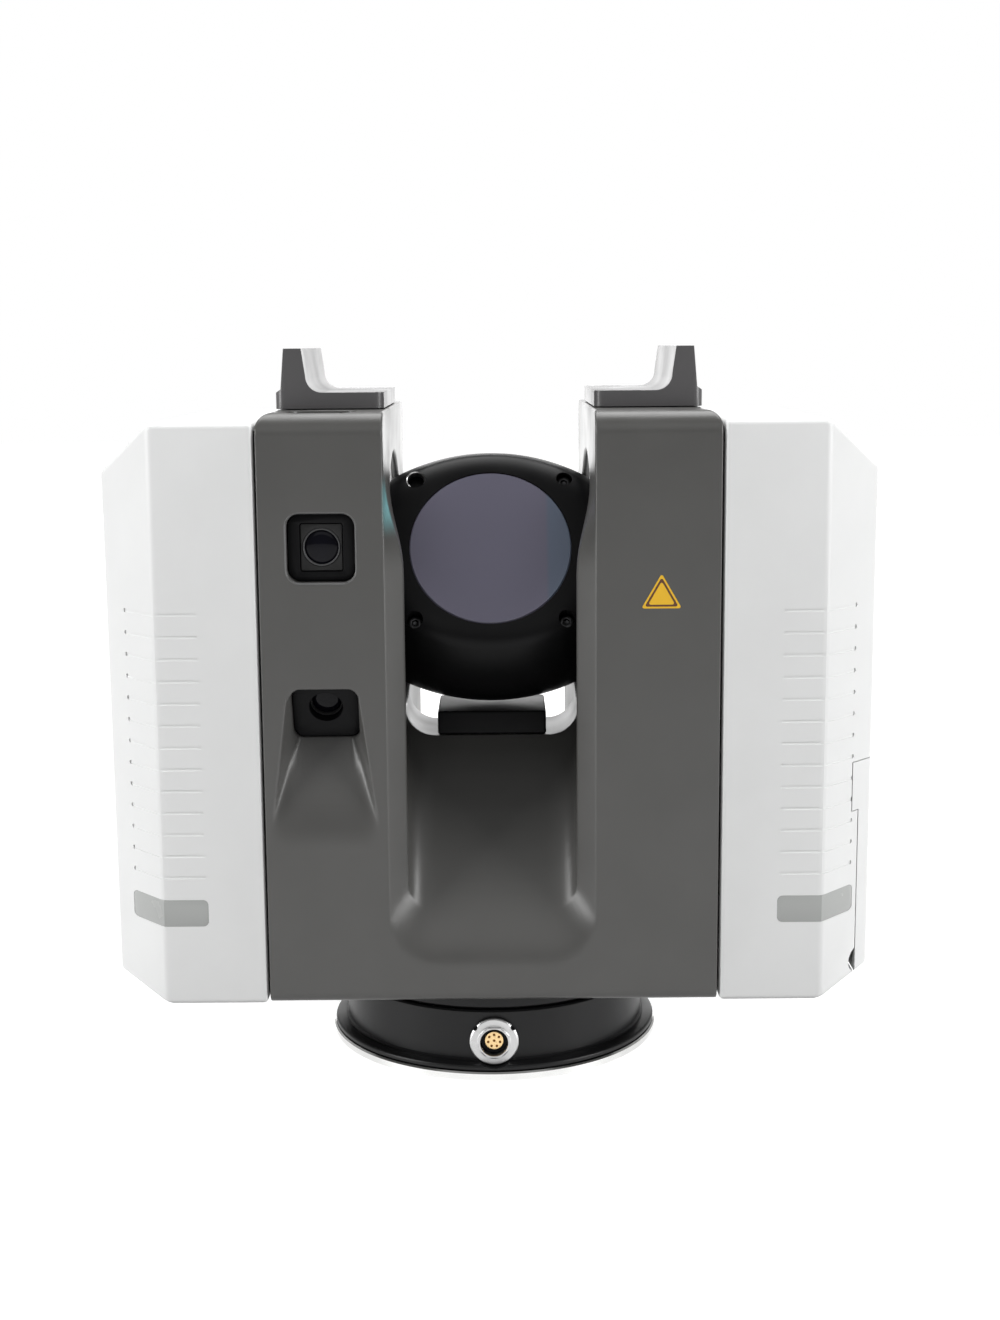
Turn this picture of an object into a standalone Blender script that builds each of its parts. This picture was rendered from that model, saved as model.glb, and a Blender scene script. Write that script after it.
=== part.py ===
"""Terrestrial laser scanner: a U-shaped body turns on a round base and holds a mirror rotor between its uprights.

Axes: X to the right seen from the front, Y to the rear, Z up. The origin is the centre of the base's underside.
Every size below is in millimetres. The mesh builders turn millimetres into metres.
"""

import math

import bmesh
import bpy
from mathutils import Matrix, Vector

MM = 0.001
GAP = 0.3                    # clearance between neighbouring pieces

# Fixed base
BASE_R = 55.0
RING_TOP = 3.0
RING_BORE = 11.5
FLANGE_R = 54.4
FLANGE_THICK = 1.3
DRUM_R = 50.2
DRUM_TOP = 21.8
DRUM_WALL = 3.7
DRUM_FLOOR = 6.6
DRUM_EDGE = 0.6
BEARING_R = 17.0
BEARING_BORE = 10.3
BEARING_SPAN = (9.6, 17.4)
BEARING_SEAT_WALL = 3.0
SHAFT_R = 10.0
SHAFT_BORE = 4.0
SHAFT_FOOT = 5.0
SHAFT_FLANGE_R = 14.4
SLIP_RING_R = 3.6
SLIP_RING_SPAN = (7.0, 40.0)
ENCODER_DISC_R = 34.0
ENCODER_DISC_SPAN = (19.0, 20.2)
SOCKET_Z = 12.0
SOCKET_FLANGE_R = 7.8
SOCKET_BODY_R = 5.6
SOCKET_BORE_R = 4.5
SOCKET_INSERT_R = 2.9
SOCKET_PROUD = 2.2
SOCKET_FLANGE = (0.5, 1.7)   # front and back of the flange behind the socket's rim
SOCKET_DEPTH = 8.0
CATCH_WIDTH = 12.0
CATCH_REACH = (43.4, 54.2)
CATCH_SPAN = (10.0, 20.0)

# Turning body
BODY_HALF_WIDTH = 69.7
BODY_HALF_DEPTH = 60.0
BODY_BOTTOM = 28.4
BODY_TOP = 211.2
BODY_EDGE_R = 6.5
BODY_FOOT_R = 2.0
UPRIGHT_WALL = 37.5          # inner side of the cavities in both uprights
CAVITY_BOTTOM = 33.5
CAVITY_TOP = 206.5
CAVITY_DEPTH = 56.0
CAMERA_WALL = 34.0           # the thick front wall that carries the cameras
CAMERA_WALL_FOOT = 70.0
COLLAR_BORE = 38.0
COLLAR_R = 50.0

# Channel between the uprights
CHANNEL_HALF = 28.3
CHANNEL_THROAT = 26.2        # the walls close in to this just behind the chamfer
CHANNEL_MOUTH = 31.3
CHANNEL_UPPER = 31.6
CHANNEL_FLOOR = 104.0
CHANNEL_FILLET = 9.5
CHAMFER_START = 54.0
SHOULDER = (162.0, 180.0)
SADDLE_HALF = 15.0
RAMP_DROP = 65.0
RAMP_STRAIGHT = 0.55
REFERENCE_HALF = 17.8
REFERENCE_HEIGHT = 8.0

# Hazard label on the right upright
LABEL_X = 51.6
LABEL_BASE_Z = 151.8
LABEL_HALF = 6.4
LABEL_RISE = 1.72            # height of the triangle over half its width

# Mirror rotor, turning about X
ROTOR_Z = 154.5
ROTOR_HALF = 33.0
ROTOR_R = 41.0
ROTOR_CROWN_R = 68.0
ROTOR_BORE_R = 23.6
ROTOR_BORE_END = 22.0
FACE_DISTANCE = 26.7
FACE_TILT = math.radians(28.0)
WINDOW_R = 26.0
WINDOW_THICK = 2.2
POCKET_R = 42.0
POCKET_HALF = 33.6
SCREW_OFFSET = 24.0
SCREW_HOLE_R = 2.6
BALANCE_HOLE_R = 3.1
SCREW_R = 2.2
SCREW_SINK = 4.6
ROTOR_SHAFT_R = 6.0
ROTOR_SHAFT_END = 66.0
MOTOR_R = 22.0
MOTOR_BORE = 15.3
MOTOR_SPAN = (38.0, 62.0)
MAGNET_R = 13.0
MAGNET_SPAN = (46.0, 54.0)
ROTOR_BEARING_X = (38.4, 56.0)
ROTOR_BEARING_WIDTH = 5.6
ROTOR_DISC_R = 20.0
ROTOR_DISC_SPAN = (63.6, 64.8)
LASER_HOLE_R = 25.0
SHAFT_HOLE_R = 9.0
MIRROR_PLAY = 0.8

# Cameras in the left upright
CAMERA_X = -50.8
CAMERA_SIZE = 20.3
CAMERA_CORNER = 4.0
MIDDLE_CAMERA_Z = 170.8
LOWER_CAMERA = (111.0, 127.7)
LOWER_CAMERA_DEEP = 49.0
SCOOP_TIP_Z = 79.5
SCOOP_TIPS = (-68.2, -34.6)
UPPER_CAMERA_Y = (-55.0, -38.0)
UPPER_CAMERA_FLOOR = 194.0
LENS_R = 5.5
CAMERA_SINK = 2.5            # how far the middle camera's face lies behind the front
CAMERA_BACK = -30.0

# Side covers
COVER_INNER = 70.3
COVER_CORNER = 101.8
COVER_OUTER = 120.0
COVER_FLAT = 40.0
COVER_BOTTOM = 28.3
COVER_TOP = 208.3
COVER_OUTER_BOTTOM = 33.3
COVER_OUTER_TOP = 193.0
COVER_WALL = 2.6
VENT_COUNT = 13
VENT_TOP = 151.0
VENT_PITCH = 6.82
VENT_HEIGHT = 1.0
VENT_DEPTH = 1.0
VENT_X = (88.5, 112.5)
CORNER_WINDOW_Z = (53.5, 62.0)
CORNER_WINDOW_X = (88.0, 113.5)

# Battery compartment in the right cover
DOOR_X = 115.3
DOOR_TOP = 101.1
DOOR_TAB_X = 112.8
DOOR_TAB_BOTTOM = 85.7
HINGE_X = 117.6
HINGE_Z = 36.2
PIN_R = 0.8
KNUCKLE_R = 1.9
KNUCKLE_BORE = 1.15
KNUCKLE_REACH = 24.0
LUG_SPAN = (7.4, 13.4)
HINGE_RELIEF_R = 4.9
BAY_LOW = (78.0, -38.0, 42.0)
BAY_HIGH = (112.0, 38.0, 98.0)
BAY_WALL = 2.0
LATCH_WIDTH = 14.0
LATCH_SPAN = (86.0, 95.0)
LATCH_TRAVEL = 3.0

# Controls on the left cover
SCREEN_SIZE = (66.0, 50.0)
SCREEN_Z = 142.0
BUTTON_Z = 96.0
BUTTON_R = 7.0
BEZEL_WIDTH = 3.5
BEZEL_CORNER = 4.0
BOARD_LOW = (-104.0, -46.0, 48.0)
BOARD_HIGH = (-102.2, 46.0, 178.0)
PROUD = 1.1                  # how far the button and the latch stand out

# Carrying handles on top
HANDLE_X = (32.6, 66.2)
HANDLE_TOP = 230.0
HANDLE_RAIL_TOP = 216.5
HANDLE_HALF = 34.0
HANDLE_CORNER = 3.0
HANDLE_FIN = (58.2, 63.1)
HANDLE_FILLET = 5.0


# ---------------------------------------------------------------- mesh builders

def clear_scene():
    for old in list(bpy.data.objects):
        bpy.data.objects.remove(old)


def make_material(name, colour, roughness, metallic=0.0):
    material = bpy.data.materials.new(name)
    material.use_nodes = True
    shader = material.node_tree.nodes["Principled BSDF"]
    shader.inputs["Base Color"].default_value = (*colour, 1.0)
    shader.inputs["Roughness"].default_value = roughness
    shader.inputs["Metallic"].default_value = metallic
    return material


def add_object(name, mesh, material=None):
    mesh.shade_smooth()
    mesh.set_sharp_from_angle(angle=math.radians(30.0))
    made = bpy.data.objects.new(name, mesh)
    if material:
        mesh.materials.append(material)
    bpy.context.scene.collection.objects.link(made)
    return made


def solid(name, points, faces, material=None):
    """A closed mesh from points in millimetres, with its faces turned outward."""
    mesh = bpy.data.meshes.new(name)
    mesh.from_pydata([Vector(point) * MM for point in points], [], faces)
    work = bmesh.new()
    work.from_mesh(mesh)
    bmesh.ops.recalc_face_normals(work, faces=work.faces)
    work.to_mesh(mesh)
    work.free()
    return add_object(name, mesh, material)


def loft(name, rings, material=None):
    """A skin over rings of equal length, closed with a face at each end."""
    size = len(rings[0])
    points = [point for ring in rings for point in ring]
    faces = [tuple(range(size)), tuple(range(len(points) - size, len(points)))]
    for row in range(len(rings) - 1):
        for column in range(size):
            following = (column + 1) % size
            faces.append((row * size + column, row * size + following,
                          (row + 1) * size + following, (row + 1) * size + column))
    return solid(name, points, faces, material)


def place(axis, along, first, second):
    """A point with `along` on the given axis and the two others in X, Y, Z order."""
    if axis == "X":
        return (along, first, second)
    if axis == "Y":
        return (first, along, second)
    return (first, second, along)


def prism(name, outline, axis, low, high, material=None):
    """An outline, in the plane across the axis, extruded from low to high."""
    rings = [[place(axis, along, *point) for point in outline] for along in (low, high)]
    return loft(name, rings, material)


def box(name, low, high, material=None):
    outline = [(low[0], low[1]), (high[0], low[1]), (high[0], high[1]), (low[0], high[1])]
    return prism(name, outline, "Z", low[2], high[2], material)


def hull(name, points, material=None):
    """The convex solid around a few points."""
    work = bmesh.new()
    for point in points:
        work.verts.new(Vector(point) * MM)
    bmesh.ops.convex_hull(work, input=work.verts)
    bmesh.ops.dissolve_limit(work, angle_limit=0.001, verts=work.verts, edges=work.edges)
    mesh = bpy.data.meshes.new(name)
    work.to_mesh(mesh)
    work.free()
    return add_object(name, mesh, material)


def turned(name, profile, axis, centre, sides, material=None):
    """A ring-shaped solid: a closed profile of (radius, height) turned about an axis through centre."""
    points = []
    for step in range(sides):
        angle = 2.0 * math.pi * step / sides
        for radius, height in profile:
            offset = place(axis, height, radius * math.cos(angle), radius * math.sin(angle))
            points.append(Vector(centre) + Vector(offset))
    size = len(profile)
    faces = []
    for step in range(sides):
        for row in range(size):
            following = (row + 1) % size
            after = (step + 1) % sides
            faces.append((step * size + row, step * size + following,
                          after * size + following, after * size + row))
    return solid(name, points, faces, material)


def ring(name, inner, outer, low, high, axis, centre, sides, material=None):
    profile = [(inner, low), (outer, low), (outer, high), (inner, high)]
    return turned(name, profile, axis, centre, sides, material)


def cylinder(name, start, end, radius, sides, material=None):
    """A round bar between two points."""
    start, end = Vector(start), Vector(end)
    turn = (end - start).to_track_quat("Z", "Y")
    rings = []
    for centre in (start, end):
        angles = [2.0 * math.pi * (step + 0.5) / sides for step in range(sides)]
        spokes = [Vector((radius * math.cos(angle), radius * math.sin(angle), 0.0)) for angle in angles]
        rings.append([centre + turn @ spoke for spoke in spokes])
    return loft(name, rings, material)


def rounded_rectangle(low, high, radius, steps=4):
    """Outline points of a rectangle whose corners are arcs."""
    corners = [(high[0] - radius, high[1] - radius, 0.0), (low[0] + radius, high[1] - radius, 90.0),
               (low[0] + radius, low[1] + radius, 180.0), (high[0] - radius, low[1] + radius, 270.0)]
    outline = []
    for centre_x, centre_y, start in corners:
        for step in range(steps + 1):
            angle = math.radians(start + 90.0 * step / steps)
            outline.append((centre_x + radius * math.cos(angle), centre_y + radius * math.sin(angle)))
    return outline


def combine(target, other, operation="DIFFERENCE"):
    """Cuts with, or joins, another object, which stays in the file as a hidden guide."""
    modifier = target.modifiers.new(other.name, "BOOLEAN")
    modifier.operation = operation
    modifier.object = other
    other.hide_render = True
    other.display_type = "WIRE"


def hang_on(child, parent):
    """Parents a piece without moving it."""
    child.parent = parent
    child.matrix_parent_inverse = Matrix.Translation(-parent.location)


def joint_empty(name, position):
    empty = bpy.data.objects.new(name, None)
    empty.location = Vector(position) * MM
    bpy.context.scene.collection.objects.link(empty)
    return empty


# ---------------------------------------------------------------- base

def make_base(materials):
    ring("base_ring", RING_BORE, BASE_R, 0.0, RING_TOP, "Z", (0, 0, 0), 64, materials["polished_steel"])
    make_drum(materials)
    make_catch(materials)
    make_socket(materials)
    ring("azimuth_bearing", BEARING_BORE, BEARING_R, *BEARING_SPAN, "Z", (0, 0, 0), 32, materials["steel"])


def make_drum(materials):
    inner = DRUM_R - DRUM_WALL
    seat = BEARING_R + GAP
    outer_seat = seat + BEARING_SEAT_WALL
    bottom = RING_TOP + GAP
    profile = [
        (BEARING_BORE, bottom), (FLANGE_R, bottom), (FLANGE_R, bottom + FLANGE_THICK),
        (DRUM_R + 2.0 * DRUM_EDGE, DRUM_FLOOR - 0.4), (DRUM_R, DRUM_FLOOR), (DRUM_R, DRUM_TOP - DRUM_EDGE),
        (DRUM_R - DRUM_EDGE, DRUM_TOP), (inner, DRUM_TOP), (inner, DRUM_FLOOR),
        (outer_seat, DRUM_FLOOR), (outer_seat, BEARING_SPAN[1]), (seat, BEARING_SPAN[1]),
        (seat, BEARING_SPAN[0] - GAP), (BEARING_BORE, BEARING_SPAN[0] - GAP),
    ]
    drum = turned("base_drum", profile, "Z", (0, 0, 0), 64, materials["black_metal"])
    half = CATCH_WIDTH / 2.0 + GAP
    slot = box("catch_slot", (-DRUM_R - 2, -half, CATCH_SPAN[0] - GAP), (-inner + 3, half, CATCH_SPAN[1] + GAP))
    combine(drum, slot)
    hole = cylinder("socket_hole", (0, -DRUM_R - 2, SOCKET_Z), (0, -inner + 3, SOCKET_Z),
                    SOCKET_BODY_R + GAP, 24)
    combine(drum, hole)
    seat = cylinder("socket_seat", (0, -BASE_R - 2, SOCKET_Z), (0, -DRUM_R - GAP + 0.1, SOCKET_Z),
                    SOCKET_FLANGE_R + GAP, 32)
    combine(drum, seat)


def make_catch(materials):
    """The sprung catch that locks the base on a tripod adapter."""
    half = CATCH_WIDTH / 2.0
    box("base_catch", (-CATCH_REACH[1], -half, CATCH_SPAN[0]), (-CATCH_REACH[0], half, CATCH_SPAN[1]),
        materials["black_plastic"])


def make_socket(materials):
    centre = (0.0, 0.0, SOCKET_Z)
    front = -DRUM_R - SOCKET_PROUD
    back = front + SOCKET_DEPTH
    flange_front, flange_back = front + SOCKET_FLANGE[0], front + SOCKET_FLANGE[1]
    profile = [
        (SOCKET_BORE_R, front), (SOCKET_BODY_R - 0.2, front), (SOCKET_BODY_R - 0.2, flange_front),
        (SOCKET_FLANGE_R - 0.4, flange_front), (SOCKET_FLANGE_R, flange_front + 0.4),
        (SOCKET_FLANGE_R, flange_back), (SOCKET_BODY_R, flange_back),
        (SOCKET_BODY_R, back), (SOCKET_BORE_R, back),
    ]
    turned("socket_shell", profile, "Y", centre, 32, materials["chrome"])
    ring("socket_sleeve", SOCKET_INSERT_R + GAP, SOCKET_BORE_R - GAP, front + 2.5, back + 0.5, "Y", centre, 24,
         materials["black_plastic"])
    cylinder("socket_insert", (0, front + 2.0, SOCKET_Z), (0, back + 1.0, SOCKET_Z), SOCKET_INSERT_R, 20,
             materials["brass"])


# ---------------------------------------------------------------- body frame

def share(value, start, end):
    """How far a value has come from start to end, between 0 and 1."""
    return min(1.0, max(0.0, (value - start) / (end - start)))


def channel_floor(depth):
    """Height of the channel's floor at a distance from the rotor axis: flat, then a ramp that steepens."""
    run = share(abs(depth), SADDLE_HALF, BODY_HALF_DEPTH)
    rounding = 1.0 - math.sqrt(1.0 - run * run)
    return CHANNEL_FLOOR - RAMP_DROP * (RAMP_STRAIGHT * run + (1.0 - RAMP_STRAIGHT) * rounding)


def channel_half(depth):
    """Half the width at one depth: the walls close in, and then a chamfer opens the mouth."""
    narrowing = (CHANNEL_THROAT - CHANNEL_HALF) * share(abs(depth), SADDLE_HALF, CHAMFER_START)
    opening = (CHANNEL_MOUTH - CHANNEL_THROAT) * share(abs(depth), CHAMFER_START, BODY_HALF_DEPTH)
    return CHANNEL_HALF + narrowing + opening


def channel_ring(depth):
    """Section of the channel at one depth, in the XZ plane."""
    half = channel_half(depth)
    fillet = CHANNEL_FILLET + half - min(half, CHANNEL_THROAT)
    floor = channel_floor(depth)
    right = [(CHANNEL_UPPER, BODY_TOP + 5.0), (CHANNEL_UPPER, SHOULDER[1]), (half, SHOULDER[0])]
    for step in range(5):
        angle = math.radians(90.0 * step / 4.0)
        right.append((half - fillet * (1.0 - math.cos(angle)), floor + fillet * (1.0 - math.sin(angle))))
    left = [(-x, z) for x, z in reversed(right)]
    return [(x, depth, z) for x, z in right + left]


def make_channel_cutter():
    ramp = [SADDLE_HALF, 22.0, 30.0, 38.0, 45.0, 50.0, CHAMFER_START, 57.0, 59.0, BODY_HALF_DEPTH]
    ramp.append(BODY_HALF_DEPTH + 1.0)
    depths = [-depth for depth in reversed(ramp)] + ramp
    return loft("channel_cutter", [channel_ring(depth) for depth in depths])


def make_scoop_cutter():
    """The flared hollow that lets the lower camera look down."""
    half = CAMERA_SIZE / 2.0
    front = -BODY_HALF_DEPTH - 0.5
    top = LOWER_CAMERA[1] - 2.0
    points = [
        (CAMERA_X - half + 0.1, front, top), (CAMERA_X + half - 0.1, front, top),
        (CAMERA_X - half + 0.1, -LOWER_CAMERA_DEEP, LOWER_CAMERA[0] + 1.0),
        (CAMERA_X + half - 0.1, -LOWER_CAMERA_DEEP, LOWER_CAMERA[0] + 1.0),
        (SCOOP_TIPS[0], front, SCOOP_TIP_Z), (SCOOP_TIPS[1], front, SCOOP_TIP_Z),
    ]
    return hull("scoop_cutter", points)


def camera_opening(name, low_z, high_z):
    half = CAMERA_SIZE / 2.0
    outline = rounded_rectangle((CAMERA_X - half, low_z), (CAMERA_X + half, high_z), CAMERA_CORNER)
    return prism(name, outline, "Y", -BODY_HALF_DEPTH - 1.0, -CAMERA_WALL + 1.0)


def label_outline(inset):
    """The triangular hazard label on the right upright, point up."""
    half = LABEL_HALF - inset * math.sqrt(3.0)
    base = LABEL_BASE_Z + inset
    return [(LABEL_X - half, base), (LABEL_X + half, base), (LABEL_X, base + half * LABEL_RISE)]


def make_chassis(materials):
    outline = rounded_rectangle((-BODY_HALF_DEPTH, BODY_BOTTOM), (BODY_HALF_DEPTH, BODY_TOP), BODY_EDGE_R)
    chassis = prism("chassis", outline, "X", -BODY_HALF_WIDTH, BODY_HALF_WIDTH, materials["dark_grey"])
    outside = BODY_HALF_WIDTH + 1.0
    axle_z = ROTOR_Z
    left_outline = [(-CAVITY_DEPTH, CAVITY_BOTTOM), (CAVITY_DEPTH, CAVITY_BOTTOM),
                    (CAVITY_DEPTH, CAVITY_TOP), (-CAMERA_WALL, CAVITY_TOP),
                    (-CAMERA_WALL, CAMERA_WALL_FOOT), (-CAVITY_DEPTH, CAMERA_WALL_FOOT)]
    cutters = [
        make_channel_cutter(),
        cylinder("rotor_pocket", (-POCKET_HALF, 0, axle_z), (POCKET_HALF, 0, axle_z), POCKET_R, 64),
        prism("left_cavity", left_outline, "X", -outside, -UPRIGHT_WALL),
        box("right_cavity", (UPRIGHT_WALL, -CAVITY_DEPTH, CAVITY_BOTTOM), (outside, CAVITY_DEPTH, CAVITY_TOP)),
        box("saddle_cavity", (-UPRIGHT_WALL - 1.0, -SADDLE_HALF, CAVITY_BOTTOM + 0.4),
            (UPRIGHT_WALL + 1.0, SADDLE_HALF, CHANNEL_FLOOR - 4.0)),
        camera_opening("middle_camera_opening", MIDDLE_CAMERA_Z - CAMERA_SIZE / 2.0,
                       MIDDLE_CAMERA_Z + CAMERA_SIZE / 2.0),
        camera_opening("lower_camera_opening", *LOWER_CAMERA),
        make_scoop_cutter(),
        make_upper_camera_pocket(),
        cylinder("laser_hole", (-UPRIGHT_WALL - 1, 0, axle_z), (-POCKET_HALF + 1, 0, axle_z), LASER_HOLE_R, 48),
        cylinder("shaft_hole", (POCKET_HALF - 1, 0, axle_z), (UPRIGHT_WALL + 1, 0, axle_z), SHAFT_HOLE_R, 32),
        cylinder("azimuth_hole", (0, 0, BODY_BOTTOM - 1), (0, 0, CAVITY_BOTTOM + 1), SHAFT_R + GAP, 32),
        prism("label_recess", label_outline(-0.15), "Y", -BODY_HALF_DEPTH - 1.0, -BODY_HALF_DEPTH + 0.6),
    ]
    for cutter in cutters:
        combine(chassis, cutter)
    return chassis


def make_upper_camera_pocket():
    half = CAMERA_SIZE / 2.0
    outline = rounded_rectangle((CAMERA_X - half, UPPER_CAMERA_Y[0]), (CAMERA_X + half, UPPER_CAMERA_Y[1]),
                                CAMERA_CORNER)
    return prism("upper_camera_pocket", outline, "Z", UPPER_CAMERA_FLOOR, BODY_TOP + 1.0)


def make_body_trim(materials):
    prism("warning_label", label_outline(0.15), "Y", -BODY_HALF_DEPTH - 0.05, -BODY_HALF_DEPTH + 0.3,
          materials["yellow"])
    box("nadir_reference", (-REFERENCE_HALF, -SADDLE_HALF, CHANNEL_FLOOR + GAP),
        (REFERENCE_HALF, SADDLE_HALF, CHANNEL_FLOOR + REFERENCE_HEIGHT), materials["black_plastic"])
    ring("neck_collar", COLLAR_BORE, COLLAR_R, DRUM_TOP + 0.6, BODY_BOTTOM - GAP, "Z", (0, 0, 0), 64,
         materials["black_metal"])
    make_azimuth_shaft(materials)


def make_azimuth_shaft(materials):
    """Flanged shaft that carries the body, with its encoder disc outside and the slip ring inside."""
    seat = CAVITY_BOTTOM + 0.8
    top = CAVITY_BOTTOM + 4.0
    outer = SHAFT_R - 0.05
    profile = [(SHAFT_BORE, SHAFT_FOOT), (outer, SHAFT_FOOT), (outer, seat), (SHAFT_FLANGE_R, seat),
               (SHAFT_FLANGE_R, top), (SHAFT_BORE, top)]
    turned("azimuth_shaft", profile, "Z", (0, 0, 0), 32, materials["steel"])
    ring("azimuth_encoder_disc", SHAFT_R + GAP, ENCODER_DISC_R, *ENCODER_DISC_SPAN, "Z", (0, 0, 0), 48,
         materials["glass"])
    low, high = SLIP_RING_SPAN
    cylinder("slip_ring", (0, 0, low), (0, 0, high), SLIP_RING_R, 20, materials["black_plastic"])


# ---------------------------------------------------------------- cameras

def make_cameras(materials):
    make_middle_camera(materials)
    make_lower_camera(materials)
    make_upper_camera(materials)


def make_middle_camera(materials):
    half = CAMERA_SIZE / 2.0 - GAP
    outline = rounded_rectangle((CAMERA_X - half, MIDDLE_CAMERA_Z - half),
                                (CAMERA_X + half, MIDDLE_CAMERA_Z + half), CAMERA_CORNER - GAP)
    front = -BODY_HALF_DEPTH + CAMERA_SINK
    module = prism("middle_camera", outline, "Y", front, CAMERA_BACK, materials["black_plastic"])
    combine(module, box("middle_camera_hood", (CAMERA_X - 6.0, front - 1, MIDDLE_CAMERA_Z - 6.8),
                        (CAMERA_X + 6.0, front + 3, MIDDLE_CAMERA_Z + 6.8)))
    seat = cylinder("middle_lens_seat", (CAMERA_X, front, MIDDLE_CAMERA_Z),
                    (CAMERA_X, front + 9, MIDDLE_CAMERA_Z), LENS_R + GAP, 24)
    combine(module, seat)
    cylinder("middle_camera_lens", (CAMERA_X, front + 1.6, MIDDLE_CAMERA_Z),
             (CAMERA_X, front + 8.5, MIDDLE_CAMERA_Z), LENS_R, 24, materials["lens_glass"])


def make_lower_camera(materials):
    """This camera looks down and forward through the scoop."""
    low, high = LOWER_CAMERA[0] + GAP, LOWER_CAMERA[1] - GAP
    half = CAMERA_SIZE / 2.0 - GAP
    corner = CAMERA_CORNER - GAP
    outline = rounded_rectangle((CAMERA_X - half, low), (CAMERA_X + half, high), corner)
    top, bottom = Vector((0, -56.0, high)), Vector((0, -LOWER_CAMERA_DEEP, low))
    slope = (bottom.y - top.y) / (top.z - bottom.z)
    rings = [[(x, top.y + slope * (top.z - z), z) for x, z in outline],
             [(x, CAMERA_BACK, z) for x, z in outline]]
    module = loft("lower_camera", rings, materials["black_plastic"])
    centre = (top + bottom) / 2.0 + Vector((CAMERA_X, 0, 0))
    inward = Vector((0.0, high - low, bottom.y - top.y)).normalized()
    seat = cylinder("lower_lens_seat", centre - inward * 4, centre + inward * 3.0, LENS_R - 0.2, 24)
    combine(module, seat)
    cylinder("lower_camera_lens", centre - inward * 0.8, centre + inward * 2.6, LENS_R - 0.5, 24,
             materials["lens_glass"])


def make_upper_camera(materials):
    half = CAMERA_SIZE / 2.0 - GAP
    low_y, high_y = UPPER_CAMERA_Y[0] + GAP, UPPER_CAMERA_Y[1] - GAP
    outline = rounded_rectangle((CAMERA_X - half, low_y), (CAMERA_X + half, high_y), CAMERA_CORNER - GAP)
    top = UPPER_CAMERA_FLOOR + 12.0
    module = prism("upper_camera", outline, "Z", UPPER_CAMERA_FLOOR + GAP, top, materials["black_plastic"])
    middle = (low_y + high_y) / 2.0
    combine(module, cylinder("upper_lens_seat", (CAMERA_X, middle, top - 5), (CAMERA_X, middle, top + 1),
                             LENS_R + GAP, 24))
    cylinder("upper_camera_lens", (CAMERA_X, middle, top - 4.7), (CAMERA_X, middle, top + 0.6), LENS_R, 24,
             materials["lens_glass"])


# ---------------------------------------------------------------- rotor

def face_point(across, up, distance):
    """A point on a plane parallel to the rotor's flat face, at a distance from the rotor axis."""
    outward = Vector((0.0, -math.cos(FACE_TILT), math.sin(FACE_TILT)))
    upward = Vector((0.0, math.sin(FACE_TILT), math.cos(FACE_TILT)))
    return Vector((across, 0.0, ROTOR_Z)) + upward * up + outward * distance


def rotor_profile():
    """Crowned outside of the rotor as (radius, distance along X)."""
    crown = []
    steps = 10
    for step in range(steps + 1):
        along = -ROTOR_HALF + 2.0 * ROTOR_HALF * step / steps
        sagitta = ROTOR_CROWN_R - math.sqrt(ROTOR_CROWN_R ** 2 - along ** 2)
        crown.append((ROTOR_R - sagitta, along))
    return crown


def make_rotor_housing(materials):
    rings = []
    sides = 48
    for radius, along in rotor_profile():
        angles = [2.0 * math.pi * step / sides for step in range(sides)]
        rings.append([(along, radius * math.cos(a), ROTOR_Z + radius * math.sin(a)) for a in angles])
    housing = loft("rotor_housing", rings, materials["black_metal"])
    slab = [face_point(across, up, distance) for across in (-50, 50) for up in (-50, 50)
            for distance in (FACE_DISTANCE, FACE_DISTANCE + 30)]
    combine(housing, hull("face_cutter", slab))
    bore = cylinder("rotor_bore", (-ROTOR_HALF - 1, 0, ROTOR_Z), (ROTOR_BORE_END, 0, ROTOR_Z), ROTOR_BORE_R, 48)
    combine(housing, bore)
    outside = face_point(0, 0, FACE_DISTANCE + 5)
    combine(housing, cylinder("window_port", face_point(0, 0, 0), outside, ROTOR_BORE_R - 0.5, 48))
    seat_floor = face_point(0, 0, FACE_DISTANCE - WINDOW_THICK - GAP)
    combine(housing, cylinder("window_seat", seat_floor, outside, WINDOW_R, 48))
    for index, (across, up) in enumerate(face_corners()):
        radius = BALANCE_HOLE_R if index == 0 else SCREW_HOLE_R
        hole = cylinder(f"face_hole_{index}", face_point(across, up, FACE_DISTANCE - SCREW_SINK - 2.5),
                        face_point(across, up, FACE_DISTANCE + 5), radius, 16)
        combine(housing, hole)
    return housing


def face_corners():
    """The balance hole first, then the three screws."""
    return [(-SCREW_OFFSET, SCREW_OFFSET), (SCREW_OFFSET, SCREW_OFFSET),
            (-SCREW_OFFSET, -SCREW_OFFSET), (SCREW_OFFSET, -SCREW_OFFSET)]


def make_scan_mirror(materials):
    """A plug in the bore, cut off at 45 degrees."""
    radius = ROTOR_BORE_R - MIRROR_PLAY
    end = ROTOR_BORE_END - 0.5
    mirror = cylinder("scan_mirror", (-radius, 0, ROTOR_Z), (end, 0, ROTOR_Z), radius, 40, materials["mirror"])
    window_side = [face_point(-60, -40, -60), face_point(60, -40, 60), face_point(-60, 40, -60),
                   face_point(60, 40, 60), face_point(-60, -40, 60), face_point(-60, 40, 60)]
    combine(mirror, hull("mirror_cutter", window_side))
    return mirror


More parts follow.
